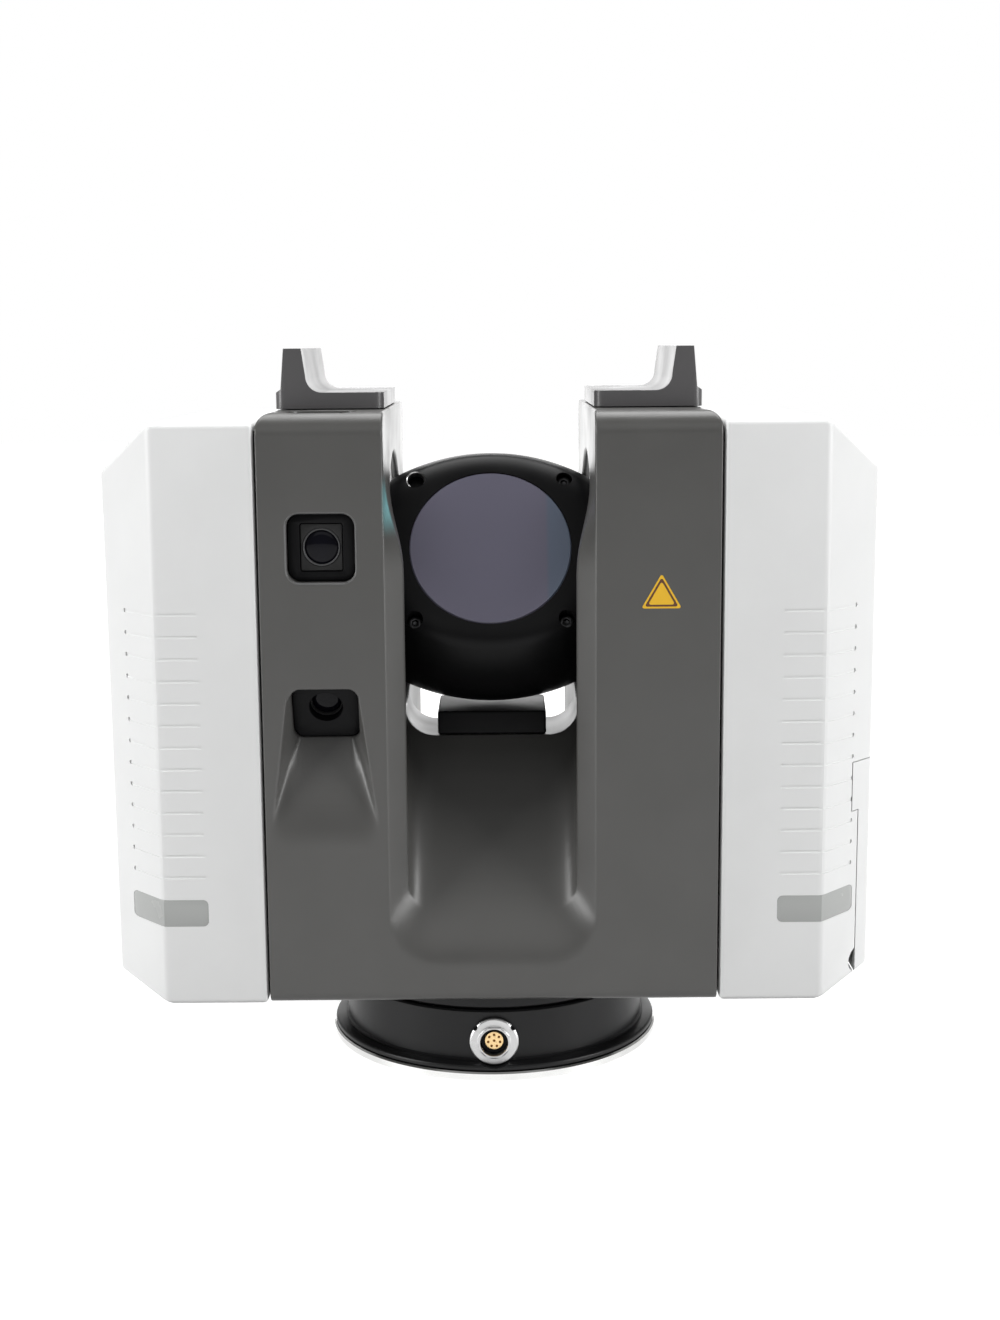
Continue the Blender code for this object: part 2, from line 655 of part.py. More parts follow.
def make_rotor(materials, axle):
    pieces = [make_rotor_housing(materials), make_scan_mirror(materials)]
    window = cylinder("rotor_window", face_point(0, 0, FACE_DISTANCE - WINDOW_THICK),
                      face_point(0, 0, FACE_DISTANCE - 0.2), WINDOW_R - GAP, 48, materials["coated_glass"])
    pieces.append(window)
    for index, (across, up) in enumerate(face_corners()[1:], start=1):
        pieces.append(cylinder(f"rotor_screw_{index}", face_point(across, up, FACE_DISTANCE - SCREW_SINK - 2),
                               face_point(across, up, FACE_DISTANCE - SCREW_SINK), SCREW_R, 16,
                               materials["steel"]))
    pieces.append(cylinder("rotor_shaft", (ROTOR_HALF + GAP, 0, ROTOR_Z), (ROTOR_SHAFT_END, 0, ROTOR_Z),
                           ROTOR_SHAFT_R, 32, materials["steel"]))
    centre = (0.0, 0.0, ROTOR_Z)
    bore = ROTOR_SHAFT_R + GAP
    pieces.append(ring("motor_magnet", bore, MAGNET_R, *MAGNET_SPAN, "X", centre, 32, materials["steel"]))
    pieces.append(ring("rotor_encoder_disc", bore, ROTOR_DISC_R, *ROTOR_DISC_SPAN, "X", centre, 48,
                       materials["glass"]))
    for piece in pieces:
        hang_on(piece, axle)


def make_rotor_drive(materials):
    """Motor housing and bearings in the right upright, and the reading head of the encoder."""
    centre = (0.0, 0.0, ROTOR_Z)
    ring("motor_housing", MOTOR_BORE, MOTOR_R, *MOTOR_SPAN, "X", centre, 40, materials["aluminium"])
    for name, low in zip(("rotor_bearing_inner", "rotor_bearing_outer"), ROTOR_BEARING_X):
        ring(name, ROTOR_SHAFT_R + GAP, MOTOR_BORE - GAP, low, low + ROTOR_BEARING_WIDTH, "X", centre, 32,
             materials["steel"])
    box("encoder_reader", (65.4, -5.0, ROTOR_Z + 9.0), (69.4, 5.0, ROTOR_Z + 24.0), materials["black_plastic"])


def make_laser(materials):
    """Laser unit in the left upright, and the coated window it looks through."""
    axle_z = ROTOR_Z
    cylinder("laser_window", (-UPRIGHT_WALL + 0.8, 0, axle_z), (-POCKET_HALF - 0.6, 0, axle_z), 24.7, 48,
             materials["teal_glass"])
    profile = [(3.0, -66.0), (17.0, -66.0), (17.0, -50.0), (22.0, -48.0), (22.0, -38.0), (3.0, -38.0)]
    turned("laser_unit", profile, "X", (0.0, 0.0, axle_z), 40, materials["aluminium"])


# ---------------------------------------------------------------- covers

def cover_points(side, inset=0.0):
    """Corner points of a side cover, or of its hollow when inset by the wall."""
    inner = COVER_INNER - (2.0 if inset else 0.0)
    corner = COVER_CORNER - inset * 0.42
    outer = COVER_OUTER - inset
    depth = BODY_HALF_DEPTH - inset
    flat = COVER_FLAT - inset * 0.42
    points = []
    for sign in (-1, 1):
        points += [(side * inner, sign * depth, COVER_BOTTOM + inset),
                   (side * inner, sign * depth, COVER_TOP - inset),
                   (side * corner, sign * depth, COVER_BOTTOM + inset),
                   (side * corner, sign * depth, COVER_TOP - inset),
                   (side * outer, sign * flat, COVER_OUTER_BOTTOM + inset),
                   (side * outer, sign * flat, COVER_OUTER_TOP - inset * 0.42)]
    return points


def corner_band(side, front, span, outset, inset):
    """Plan outline of a band that wraps around one upright corner of a cover."""
    slope = (BODY_HALF_DEPTH - COVER_FLAT) / (COVER_OUTER - COVER_CORNER)
    bend = BODY_HALF_DEPTH - (span[1] - COVER_CORNER) * slope
    shift = math.tan(math.atan(slope) / 2.0)
    lean = Vector((math.sin(math.atan(slope)), math.cos(math.atan(slope))))
    outline = []
    for offset, order in ((outset, 1), (-inset, -1)):
        row = [(span[0], BODY_HALF_DEPTH + offset), (COVER_CORNER + offset * shift, BODY_HALF_DEPTH + offset),
               (span[1] + offset * lean.x, bend + offset * lean.y)]
        outline += row[::order]
    return [(side * x, front * y) for x, y in outline]


def make_vents(cover, side):
    for front in (-1, 1):
        outline = corner_band(side, front, VENT_X, 1.0, VENT_DEPTH)
        for slot in range(VENT_COUNT):
            middle = VENT_TOP - slot * VENT_PITCH
            cutter = prism(f"vent_{side}_{front}_{slot}", outline, "Z", middle - VENT_HEIGHT / 2.0,
                           middle + VENT_HEIGHT / 2.0)
            combine(cover, cutter)


def make_corner_windows(cover, side, materials):
    side_name = "left" if side < 0 else "right"
    for front, front_name in ((-1, "front"), (1, "rear")):
        name = f"{front_name}_{side_name}_window"
        opening = prism(f"{name}_opening", corner_band(side, front, CORNER_WINDOW_X, 1.0, 4.0), "Z",
                        *CORNER_WINDOW_Z)
        combine(cover, opening)
        span = (CORNER_WINDOW_X[0] + GAP, CORNER_WINDOW_X[1] - GAP)
        prism(name, corner_band(side, front, span, -0.15, 2.2), "Z", CORNER_WINDOW_Z[0] + GAP,
              CORNER_WINDOW_Z[1] - GAP, materials["grey_window"])


def make_cover(name, side, materials):
    cover = hull(name, cover_points(side), materials["white_plastic"])
    combine(cover, hull(f"{name}_hollow", cover_points(side, COVER_WALL)))
    make_vents(cover, side)
    make_corner_windows(cover, side, materials)
    return cover


def make_left_controls(cover, materials):
    """Touch screen and power button on the outer face of the left cover."""
    width, height = SCREEN_SIZE
    face = -COVER_OUTER
    low, high = (-width / 2.0, SCREEN_Z - height / 2.0), (width / 2.0, SCREEN_Z + height / 2.0)
    combine(cover, prism("screen_opening", rounded_rectangle(low, high, BEZEL_CORNER), "X", face - 1, face + 4))
    low = (low[0] + GAP, low[1] + GAP)
    high = (high[0] - GAP, high[1] - GAP)
    bezel = prism("screen_bezel", rounded_rectangle(low, high, BEZEL_CORNER - GAP), "X", face - 0.4, face + 3.4,
                  materials["black_plastic"])
    panel_low = (low[0] + BEZEL_WIDTH, low[1] + BEZEL_WIDTH)
    panel_high = (high[0] - BEZEL_WIDTH, high[1] - BEZEL_WIDTH)
    recess = rounded_rectangle(panel_low, panel_high, 1.0)
    combine(bezel, prism("panel_recess", recess, "X", face - 1, face + 1.6))
    glass_low = (panel_low[0] + GAP, panel_low[1] + GAP)
    glass_high = (panel_high[0] - GAP, panel_high[1] - GAP)
    prism("touch_screen", rounded_rectangle(glass_low, glass_high, 0.8), "X", face, face + 1.3,
          materials["screen_glass"])
    inside = (face + 4, 0, BUTTON_Z)
    combine(cover, cylinder("button_hole", (face - 1, 0, BUTTON_Z), inside, BUTTON_R + GAP, 32))
    cylinder("power_button", (face - PROUD, 0, BUTTON_Z), inside, BUTTON_R, 32, materials["grey_plastic"])
    box("mainboard", BOARD_LOW, BOARD_HIGH, materials["circuit_board"])


def make_battery_bay(materials):
    bay = box("battery_bay", BAY_LOW, BAY_HIGH, materials["black_plastic"])
    inner_low = tuple(value + BAY_WALL for value in BAY_LOW)
    inner_high = (BAY_HIGH[0] + 1.0, BAY_HIGH[1] - BAY_WALL, BAY_HIGH[2] - BAY_WALL)
    combine(bay, box("bay_hollow", inner_low, inner_high))
    for index in (1, 2):
        low_y = -35.4 if index == 1 else 0.4
        box(f"battery_{index}", (inner_low[0] + GAP, low_y, inner_low[2] + GAP),
            (BAY_HIGH[0] - 3.0, low_y + 35.0, inner_high[2] - 4.0), materials["battery"])
    return bay


def hinge_bar(name, start, end, radius, sides=20):
    """A round bar on the door's hinge axis."""
    return cylinder(name, (HINGE_X, start, HINGE_Z), (HINGE_X, end, HINGE_Z), radius, sides)


def door_outline(gap):
    """Front view of the door, with a finger tab at its upper corner."""
    inner, tab = DOOR_X - gap, DOOR_TAB_X - gap
    top, bottom = DOOR_TOP + gap, DOOR_TAB_BOTTOM - gap
    return [(inner, 20), (130, 20), (130, top), (tab, top), (tab, bottom), (inner, bottom)]


def make_battery_door(cover, hinge, materials):
    """The door is the lower outer part of the right cover, hinged along its bottom edge."""
    combine(cover, prism("door_cut", door_outline(GAP), "Y", -61, 61))
    combine(cover, hinge_bar("hinge_relief", -60, 60, HINGE_RELIEF_R, 32))
    door = hull("battery_door", cover_points(1), materials["white_plastic"])
    combine(door, hull("door_hollow", cover_points(1, COVER_WALL)))
    combine(door, prism("door_zone", door_outline(0.0), "Y", -61, 61), "INTERSECT")
    for front in (-1, 1):
        start, end = sorted((front * (LUG_SPAN[1] + 0.6), front * KNUCKLE_REACH))
        combine(door, hinge_bar(f"door_knuckle_{front}", start, end, KNUCKLE_R), "UNION")
        start, end = sorted((front * (LUG_SPAN[0] - 0.4), front * (LUG_SPAN[1] + 0.4)))
        combine(door, box(f"lug_notch_{front}", (110, start, 20), (130, end, HINGE_Z + KNUCKLE_R + 0.6)))
    combine(door, hinge_bar("door_pin_bore", -KNUCKLE_REACH - 1, KNUCKLE_REACH + 1, KNUCKLE_BORE))
    half = LATCH_WIDTH / 2.0 + GAP
    combine(door, box("latch_slot", (114, -half, LATCH_SPAN[0] - LATCH_TRAVEL - GAP),
                      (122, half, LATCH_SPAN[1] + GAP)))
    latch = box("door_latch", (COVER_OUTER - 4.0, -LATCH_WIDTH / 2.0, LATCH_SPAN[0]),
                (COVER_OUTER + PROUD, LATCH_WIDTH / 2.0, LATCH_SPAN[1]), materials["grey_plastic"])
    hang_on(door, hinge)
    hang_on(latch, hinge)


def make_hinge_mount(bay, materials):
    """Two lugs under the battery bay that hold the door's hinge pin."""
    for front in (-1, 1):
        start, end = sorted((front * LUG_SPAN[0], front * LUG_SPAN[1]))
        combine(bay, hinge_bar(f"lug_eye_{front}", start, end, KNUCKLE_R), "UNION")
        combine(bay, box(f"lug_foot_{front}", (BAY_HIGH[0] - 7.0, start + 0.1, HINGE_Z - 1.0),
                         (HINGE_X, end - 0.1, HINGE_Z + 1.0)), "UNION")
        combine(bay, box(f"lug_stem_{front}", (BAY_HIGH[0] - 6.0, start + 0.2, HINGE_Z - 0.5),
                         (BAY_HIGH[0] - 2.0, end - 0.2, BAY_LOW[2] + 1.0)), "UNION")
    combine(bay, hinge_bar("bay_pin_bore", -KNUCKLE_REACH, KNUCKLE_REACH, KNUCKLE_BORE))
    pin = hinge_bar("door_hinge_pin", -KNUCKLE_REACH + 0.5, KNUCKLE_REACH - 0.5, PIN_R, 16)
    pin.data.materials.append(materials["steel"])


# ---------------------------------------------------------------- handles

def handle_section():
    """Front view of the right handle: a flat rail, and an upright fin near its outer edge."""
    outer_side = HANDLE_FIN[1] + 1.1
    inner_side = HANDLE_FIN[0] - 1.2
    section = [(HANDLE_X[0], BODY_TOP + GAP), (HANDLE_X[1], BODY_TOP + GAP), (HANDLE_X[1], HANDLE_RAIL_TOP),
               (outer_side, HANDLE_RAIL_TOP + 1.0), (HANDLE_FIN[1], HANDLE_TOP - 1.0),
               (HANDLE_FIN[1] - 1.0, HANDLE_TOP), (HANDLE_FIN[0] + 1.0, HANDLE_TOP),
               (HANDLE_FIN[0], HANDLE_TOP - 1.0)]
    steps = 4
    for step in range(steps + 1):
        angle = math.radians(90.0 * step / steps)
        section.append((inner_side - HANDLE_FILLET * (1.0 - math.cos(angle)),
                        HANDLE_RAIL_TOP + HANDLE_FILLET * (1.0 - math.sin(angle))))
    section.append((HANDLE_X[0], HANDLE_RAIL_TOP))
    return section


def make_handle(name, side, materials):
    """An L-shaped grip rail with rounded ends and an upright fin."""
    section = [(side * x, z) for x, z in handle_section()]
    handle = prism(name, section, "Y", -HANDLE_HALF, HANDLE_HALF, materials["dark_plastic"])
    low_x, high_x = sorted((side * HANDLE_X[0], side * HANDLE_X[1]))
    plan = rounded_rectangle((low_x, -HANDLE_HALF), (high_x, HANDLE_HALF), HANDLE_CORNER)
    combine(handle, prism(f"{name}_plan", plan, "Z", BODY_TOP, HANDLE_TOP + 1.0), "INTERSECT")


# ---------------------------------------------------------------- assembly

def make_materials():
    return {
        "dark_grey": make_material("dark_grey_paint", (0.085, 0.085, 0.083), 0.5),
        "dark_plastic": make_material("dark_plastic", (0.06, 0.06, 0.062), 0.5),
        "black_metal": make_material("black_anodised", (0.012, 0.012, 0.013), 0.35, 0.6),
        "black_plastic": make_material("black_plastic", (0.01, 0.01, 0.01), 0.45),
        "white_plastic": make_material("white_plastic", (0.72, 0.72, 0.71), 0.45),
        "grey_plastic": make_material("grey_plastic", (0.3, 0.3, 0.3), 0.45),
        "grey_window": make_material("grey_window", (0.42, 0.43, 0.42), 0.2),
        "polished_steel": make_material("polished_steel", (0.7, 0.7, 0.7), 0.2, 1.0),
        "steel": make_material("steel", (0.5, 0.5, 0.5), 0.35, 1.0),
        "chrome": make_material("chrome", (0.75, 0.75, 0.75), 0.15, 1.0),
        "aluminium": make_material("aluminium", (0.6, 0.6, 0.6), 0.4, 1.0),
        "brass": make_material("brass", (0.75, 0.55, 0.25), 0.3, 1.0),
        "mirror": make_material("mirror", (0.9, 0.9, 0.9), 0.02, 1.0),
        "coated_glass": make_material("coated_glass", (0.12, 0.11, 0.16), 0.08),
        "teal_glass": make_material("teal_glass", (0.1, 0.4, 0.42), 0.08),
        "lens_glass": make_material("lens_glass", (0.01, 0.01, 0.02), 0.05),
        "glass": make_material("encoder_glass", (0.5, 0.55, 0.55), 0.05),
        "screen_glass": make_material("screen_glass", (0.02, 0.02, 0.025), 0.08),
        "circuit_board": make_material("circuit_board", (0.02, 0.12, 0.05), 0.5),
        "battery": make_material("battery_case", (0.1, 0.1, 0.11), 0.5),
        "yellow": make_material("yellow_label", (0.8, 0.5, 0.02), 0.4),
    }


def build():
    clear_scene()
    materials = make_materials()
    make_base(materials)
    make_chassis(materials)
    make_body_trim(materials)
    make_cameras(materials)
    make_laser(materials)
    make_rotor_drive(materials)
    make_rotor(materials, joint_empty("rotor_axis", (0, 0, ROTOR_Z)))
    left = make_cover("left_cover", -1, materials)
    right = make_cover("right_cover", 1, materials)
    make_left_controls(left, materials)
    bay = make_battery_bay(materials)
    make_hinge_mount(bay, materials)
    make_battery_door(right, joint_empty("door_axis", (HINGE_X, 0, HINGE_Z)), materials)
    make_handle("left_handle", -1, materials)
    make_handle("right_handle", 1, materials)


build()
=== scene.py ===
"""Looks of the surveying laser scanner: detailed shells, procedural materials, camera and studio light.

Axes follow the frame: X to the right seen from the front, Y to the rear, Z up, origin under the base.
Sizes below are in millimetres; the mesh builders turn them into metres.
What the frame can say is read from it.
"""

import math

import bmesh
import bpy
from mathutils import Matrix, Vector


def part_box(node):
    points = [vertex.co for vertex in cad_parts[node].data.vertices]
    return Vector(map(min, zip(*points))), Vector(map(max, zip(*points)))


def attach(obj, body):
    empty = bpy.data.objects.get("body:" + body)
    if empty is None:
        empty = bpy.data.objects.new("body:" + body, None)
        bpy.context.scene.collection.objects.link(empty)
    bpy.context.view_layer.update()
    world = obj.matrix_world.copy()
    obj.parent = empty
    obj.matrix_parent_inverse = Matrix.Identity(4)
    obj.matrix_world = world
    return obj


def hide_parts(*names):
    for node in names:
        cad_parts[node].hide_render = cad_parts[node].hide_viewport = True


MM = 0.001
SHARP = math.radians(32.0)
PLAY = 0.3                   # room between neighbouring pieces
PAST = 1.0                   # how far a cutter reaches past a surface
SMALL_ROUND = 32             # sides of round pieces, by their size
ROUND = 64
LARGE_ROUND = 96
TURNED_ROUND = 192


def frame_box(node):
    """Lowest and highest corners of a CAD node, in millimetres."""
    low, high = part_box(node)
    return Vector(low) / MM, Vector(high) / MM


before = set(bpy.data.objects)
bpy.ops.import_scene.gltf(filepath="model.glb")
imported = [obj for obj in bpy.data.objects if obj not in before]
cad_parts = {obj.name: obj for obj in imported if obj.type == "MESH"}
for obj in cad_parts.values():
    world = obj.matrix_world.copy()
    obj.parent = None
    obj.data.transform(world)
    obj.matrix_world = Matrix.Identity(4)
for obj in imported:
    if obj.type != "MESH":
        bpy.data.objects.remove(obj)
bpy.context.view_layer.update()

# Body between the covers
BODY_LOW, BODY_HIGH = frame_box("chassis")
BODY_EDGE_R = 6.5
BODY_FOOT_R = 3.0
CORNER_R = 5.0
SKIN_VOXEL = 0.5
SKIN_PASSES = 2
SKIN_SHARE = 0.25
HOLLOW_X = (37.5, 71.0)
HOLLOW_Z = (33.5, 206.5)
HOLLOW_DEPTH = 56.0
CAMERA_WALL = 34.0
INNER_WALL = 42.0
LASER_HOLE_R = 25.0
SHAFT_HOLE_R = 9.0
AZIMUTH_HOLE_R = 10.3
AZIMUTH_HOLE_DEEP = 8.0

# Channel between the uprights
CHANNEL_HALF = 28.3
CHANNEL_THROAT = 26.2
CHANNEL_MOUTH = 32.0
CHANNEL_UPPER = 31.6
CHANNEL_FLOOR = frame_box("nadir_reference")[0].z - 0.3
CHANNEL_FILLET = 9.5
CHAMFER_START = 54.0
SHOULDER = (162.0, 190.0)
SADDLE_HALF = 15.0
RAMP_DROP = 65.0
RAMP_STRAIGHT = 0.68

# Painted teal reflection on the left shoulder: it fades in from the first to the second place along each axis
PAINTED_GLEAM_COLOUR = (0.15, 0.33, 0.34)
PAINTED_GLEAM_EDGES = [("X", -26.0, -27.5), ("X", -32.6, -31.0), ("Y", -47.0, -54.0), ("Z", 173.0, 183.0),
               ("Z", 193.0, 186.0)]

# Painted bluish reflection at one side of the rotor's window: the scan mirror's edge seen through the glass
PAINTED_MIRROR_REFLECTION_COLOUR = (0.155, 0.185, 0.25)
PAINTED_MIRROR_REFLECTION_EDGES = [("X", 17.4, 19.0)]

# Battery door hinge, about a line along Y
HINGE_X = 117.6
HINGE_Z = 36.2

# Rotor
ROTOR_Z = 154.5
ROTOR_HALF = 33.0
ROTOR_R = 41.0
ROTOR_CROWN_R = 68.0
ROTOR_BORE_R = 23.6
ROTOR_BORE_END = 22.0
FACE_DISTANCE = 26.7
FACE_TILT = math.radians(28.0)
ROTOR_EDGE = 5.0
WINDOW_R = 26.0
WINDOW_SINK = 2.5
WINDOW_CHAMFER = 0.4
POCKET_R = 42.0
POCKET_HALF = 33.6
FACE_CUT = 32.0              # cutters of the flat face reach this far from the rotor axis
SCREW_OFFSET = 24.0
SCREW_HOLE_R = 2.6
SCREW_HOLE_FLOOR = 19.6
SCREW_HEAD_R = 2.2
SCREW_HEAD = (20.2, 22.4)
SCREW_KEY_R = 1.1
SCREW_KEY_FLOOR = 21.2
BALANCE_HOLE_R = 3.1
BALANCE_RIM = (22.0, 25.4)

# Cameras
CAMERA_X = -50.8
CAMERA_SIZE = 20.8
CAMERA_CORNER = 4.0
MIDDLE_CAMERA_Z = 170.8
LOWER_CAMERA = (111.0, 127.7)
LOWER_CAMERA_DEEP = 49.0
SCOOP_DROP = 33.0
SCOOP_STRAIGHT = 0.55
SCOOP_X = -51.25
SCOOP_DEEP_HALF = 8.35
SCOOP_HALF = 17.05
SCOOP_FILLET = 5.0
UPPER_CAMERA_Y = (-55.0, -38.0)
UPPER_CAMERA_FLOOR = 200.0
CAMERA_SINK = 3.5
HOOD_HALF = (6.5, 7.3)
HOOD_DEEP = 6.0
PLATE_HALF = (6.25, 7.05)
PLATE_SPAN = (0.6, 5.0)
PLATE_BORE_DEEP = 4.6
CAMERA_BORE_R = 5.8
MIDDLE_LENS_R = 5.7
MIDDLE_LENS_SINK = 0.4
CAMERA_RIM = [(-0.05, 1.2), (-0.05, 0.4), (0.3, -0.02), (0.5, -0.02), (0.5, 1.2)]  # growth and depth
LOWER_LENS_R = 5.0
LOWER_LENS_SINK = 1.8
LOWER_LENS_RISE = 2.2
LOWER_CAMERA_LIP = -56.0
UPPER_LENS_R = 5.5
LENS_DEEP = 3.0
CAMERA_BACK = -30.0

# Side covers
COVER_LOW, COVER_HIGH = frame_box("left_cover")
COVER_OUTER = -COVER_LOW.x
COVER_INNER = -COVER_HIGH.x
COVER_CORNER = 101.8
COVER_FLAT = 40.0
COVER_OUTER_BOTTOM = 33.3
COVER_OUTER_TOP = 193.0
COVER_WALL = 2.6
COVER_EDGE_R = 1.6
VENT_COUNT = 13
VENT_TOP = 151.0
VENT_PITCH = 6.82
VENT_HEIGHT = 0.9
VENT_DEPTH = 0.3
VENT_X = (88.5, 112.5)
VENT_DOT_R = 0.7
VENT_DOT_DEEP = 0.5
CORNER_WINDOW_Z = (53.5, 62.0)
CORNER_WINDOW_X = (88.0, 113.5)
WINDOW_CORNER_R = 1.6
WINDOW_GAP = 0.05
WINDOW_THICKNESS = 2.4
WINDOW_CUT_DEEP = 4.0
COVER_CUT_DEEP = 4.0
DOOR_X = 115.3
DOOR_TOP = frame_box("battery_door")[1].z
DOOR_TAB_X = 112.8
DOOR_TAB_BOTTOM = 85.7
DOOR_FAR_X = 130.0
DOOR_FOOT = 20.0
DOOR_RELIEF_R = 4.9
KNUCKLE_R = 1.9
KNUCKLE_SPAN = (14.0, 24.0)
NOTCH_SPAN = (7.0, 13.8)
NOTCH_X = 110.0
NOTCH_RISE = 2.5
HINGE_BORE_R = 1.15
LATCH_TRAVEL = 3.0
DOOR_CUT_HALF = 61.0
LATCH_SLOT_X = (114.0, 122.0)
LATCH_RIB = (1.6, 1.0, 2.2, 0.5)  # first groove, width, pitch and depth

# Touch screen and button
BUTTON_HOLE_R = 7.3
BUTTON_DISH_R = 10.0
BUTTON_DISH_DEEP = 0.5
SCREEN_CORNER = 3.7
GLASS_CORNER = 0.8
RECESS_CORNER = 1.0

# Handles
HANDLE_LOW, HANDLE_HIGH = frame_box("left_handle")
HANDLE_RAIL_TOP = 216.5
HANDLE_FIN = (57.9, 63.4)
HANDLE_CORNER = 3.0
HANDLE_FILLET = 5.0

# Base
FOOT_BORE_R = 11.5
FOOT_EDGE = 0.5
COLLAR_BORE_R = 38.0
COLLAR_EDGE = 0.6
DRUM_R = 50.2
DRUM_INNER_R = 46.5
DRUM_FLOOR = 6.6
DRUM_EDGE = 0.5
HUB_R = (10.3, 17.3, 20.3)
HUB_Z = (9.3, 17.4)
FLANGE_ROUND = 0.8
DRUM_WAIST = [(51.3, 5.6), (50.9, 5.5), (50.6, 5.7), (DRUM_R, 6.1)]
SOCKET_HOLE_R = 5.9
SOCKET_SEAT_R = 8.1
SOCKET_CUT_Y = (-60.0, -44.0, -50.4)  # outside, inside and the floor of the seat
CATCH_SLOT_X = (-56.0, -44.0)
CATCH_GROOVE = (2.2, 1.0, 2.6, 0.7)  # first groove, width, pitch and depth
SOCKET_BORE_R = 4.5
SOCKET_THREAD_R = 5.6
NOTCH_ANGLES = (38.0, 142.0)
NOTCH_R = 0.9
NUT_R = 5.4
INSERT_R = 2.9
PIN_COUNT = 7
PIN_STEP = 51.43
PIN_CIRCLE_R = 1.95
PIN_R = 0.42

# Studio
SKY_WEIGHTS = (1.0, 0.9, 0.25)
SKY_SPAN = (-0.15, 0.7)
SKY_LEVELS = (0.2, 0.4)
FLOOR_COLOUR = 0.45
FLOOR_GLOW = 0.85

LIGHT_TARGET = (0.0, 0.0, 0.12)
# name, position and size in metres, radiance
LIGHTS = [("top_softbox", (0.0, 0.3, 1.25), (1.3, 0.9), 4.8),
          ("back_panel", (0.0, 2.0, 0.35), (1.5, 0.8), 2.2),
          ("front_panel", (0.0, -1.6, 1.1), (1.6, 1.0), 0.8),
          ("side_softbox", (-1.35, -0.6, 0.5), (0.5, 1.1), 9.5),
          ("side_softbox", (1.35, -0.6, 0.5), (0.5, 1.1), 9.5)]

# Camera of the picture
LENS = 51.215
SENSOR = 36.0
EYE = Vector((0.0028, -0.6205, 0.2306))
PITCH = math.radians(9.524)
ROLL = math.radians(0.444)


# ---------------------------------------------------------------- mesh builders

def link(name, mesh):
    made = bpy.data.objects.new(name, mesh)
    bpy.context.scene.collection.objects.link(made)
    return made


def solid(name, points, faces):
    """A closed mesh from points in millimetres, with its faces turned outward."""
    mesh = bpy.data.meshes.new(name)
    mesh.from_pydata([Vector(point) * MM for point in points], [], faces)
    work = bmesh.new()
    work.from_mesh(mesh)
    bmesh.ops.recalc_face_normals(work, faces=work.faces)
    work.to_mesh(mesh)
    work.free()
    return link(name, mesh)


def loft(name, rings):
    """A skin over rings of equal length, closed with a face at each end."""
    size = len(rings[0])
    points = [point for ring in rings for point in ring]
    faces = [tuple(range(size)), tuple(range(len(points) - size, len(points)))]
    for row in range(len(rings) - 1):
        for column in range(size):
            after = (column + 1) % size
            faces.append((row * size + column, row * size + after,
                          (row + 1) * size + after, (row + 1) * size + column))
    return solid(name, points, faces)


def place(axis, along, first, second):
    """A point with `along` on the given axis and the two others in X, Y, Z order."""
    if axis == "X":
        return (along, first, second)
    if axis == "Y":
        return (first, along, second)
    return (first, second, along)


def prism(name, outline, axis, low, high):
    return loft(name, [[place(axis, along, *point) for point in outline] for along in (low, high)])


def box(name, low, high):
    outline = [(low[0], low[1]), (high[0], low[1]), (high[0], high[1]), (low[0], high[1])]
    return prism(name, outline, "Z", low[2], high[2])


def hull(name, points):
    """The convex solid around a few points."""
    work = bmesh.new()
    for point in points:
        work.verts.new(Vector(point) * MM)
    bmesh.ops.convex_hull(work, input=work.verts)
    bmesh.ops.dissolve_limit(work, angle_limit=0.001, verts=work.verts, edges=work.edges)
    mesh = bpy.data.meshes.new(name)
    work.to_mesh(mesh)
    work.free()
    return link(name, mesh)


def closed_loop(name, rings):
    """A skin over rings of equal length, whose last ring meets the first."""
    size = len(rings[0])
    points = [point for ring in rings for point in ring]
    faces = []
    for row in range(len(rings)):
        below = (row + 1) % len(rings)
        for column in range(size):
            after = (column + 1) % size
            faces.append((row * size + column, row * size + after,
                          below * size + after, below * size + column))
    return solid(name, points, faces)


def turned(name, profile, axis, centre, sides):
    """A ring: a closed profile of (radius, height) turned about an axis through centre."""
    rings = []
    for step in range(sides):
        angle = 2.0 * math.pi * step / sides
        offsets = [place(axis, height, radius * math.cos(angle), radius * math.sin(angle))
                   for radius, height in profile]
        rings.append([Vector(centre) + Vector(offset) for offset in offsets])
    return closed_loop(name, rings)


def on_circle(radius, degrees):
    """A point on a circle, as a pair."""
    angle = math.radians(degrees)
    return (radius * math.cos(angle), radius * math.sin(angle))


def cylinder(name, start, end, radius, sides):
    """A round bar between two points."""
    start, end = Vector(start), Vector(end)
    turn = (end - start).to_track_quat("Z", "Y")
    spokes = [turn @ Vector((*on_circle(radius, 360.0 * (step + 0.5) / sides), 0.0)) for step in range(sides)]
    return loft(name, [[centre + spoke for spoke in spokes] for centre in (start, end)])


def rounded_rectangle(low, high, radius, steps=8):
    corners = [(high[0] - radius, high[1] - radius, 0.0), (low[0] + radius, high[1] - radius, 90.0),
               (low[0] + radius, low[1] + radius, 180.0), (high[0] - radius, low[1] + radius, 270.0)]
    return rounded_outline([(*corner, radius) for corner in corners], steps)


def rounded_outline(corners, steps):
    """An outline of quarter circles, each with its centre, starting angle and radius."""
    outline = []
    for centre_x, centre_y, start, radius in corners:
        for step in range(steps + 1):
            x, y = on_circle(radius, start + 90.0 * step / steps)
            outline.append((centre_x + x, centre_y + y))
    return outline


def settle(obj):
    """Applies the modifiers of an object and keeps the result as its mesh."""
    depsgraph = bpy.context.evaluated_depsgraph_get()
    mesh = bpy.data.meshes.new_from_object(obj.evaluated_get(depsgraph))
    obj.modifiers.clear()
    obj.data = mesh
    return obj


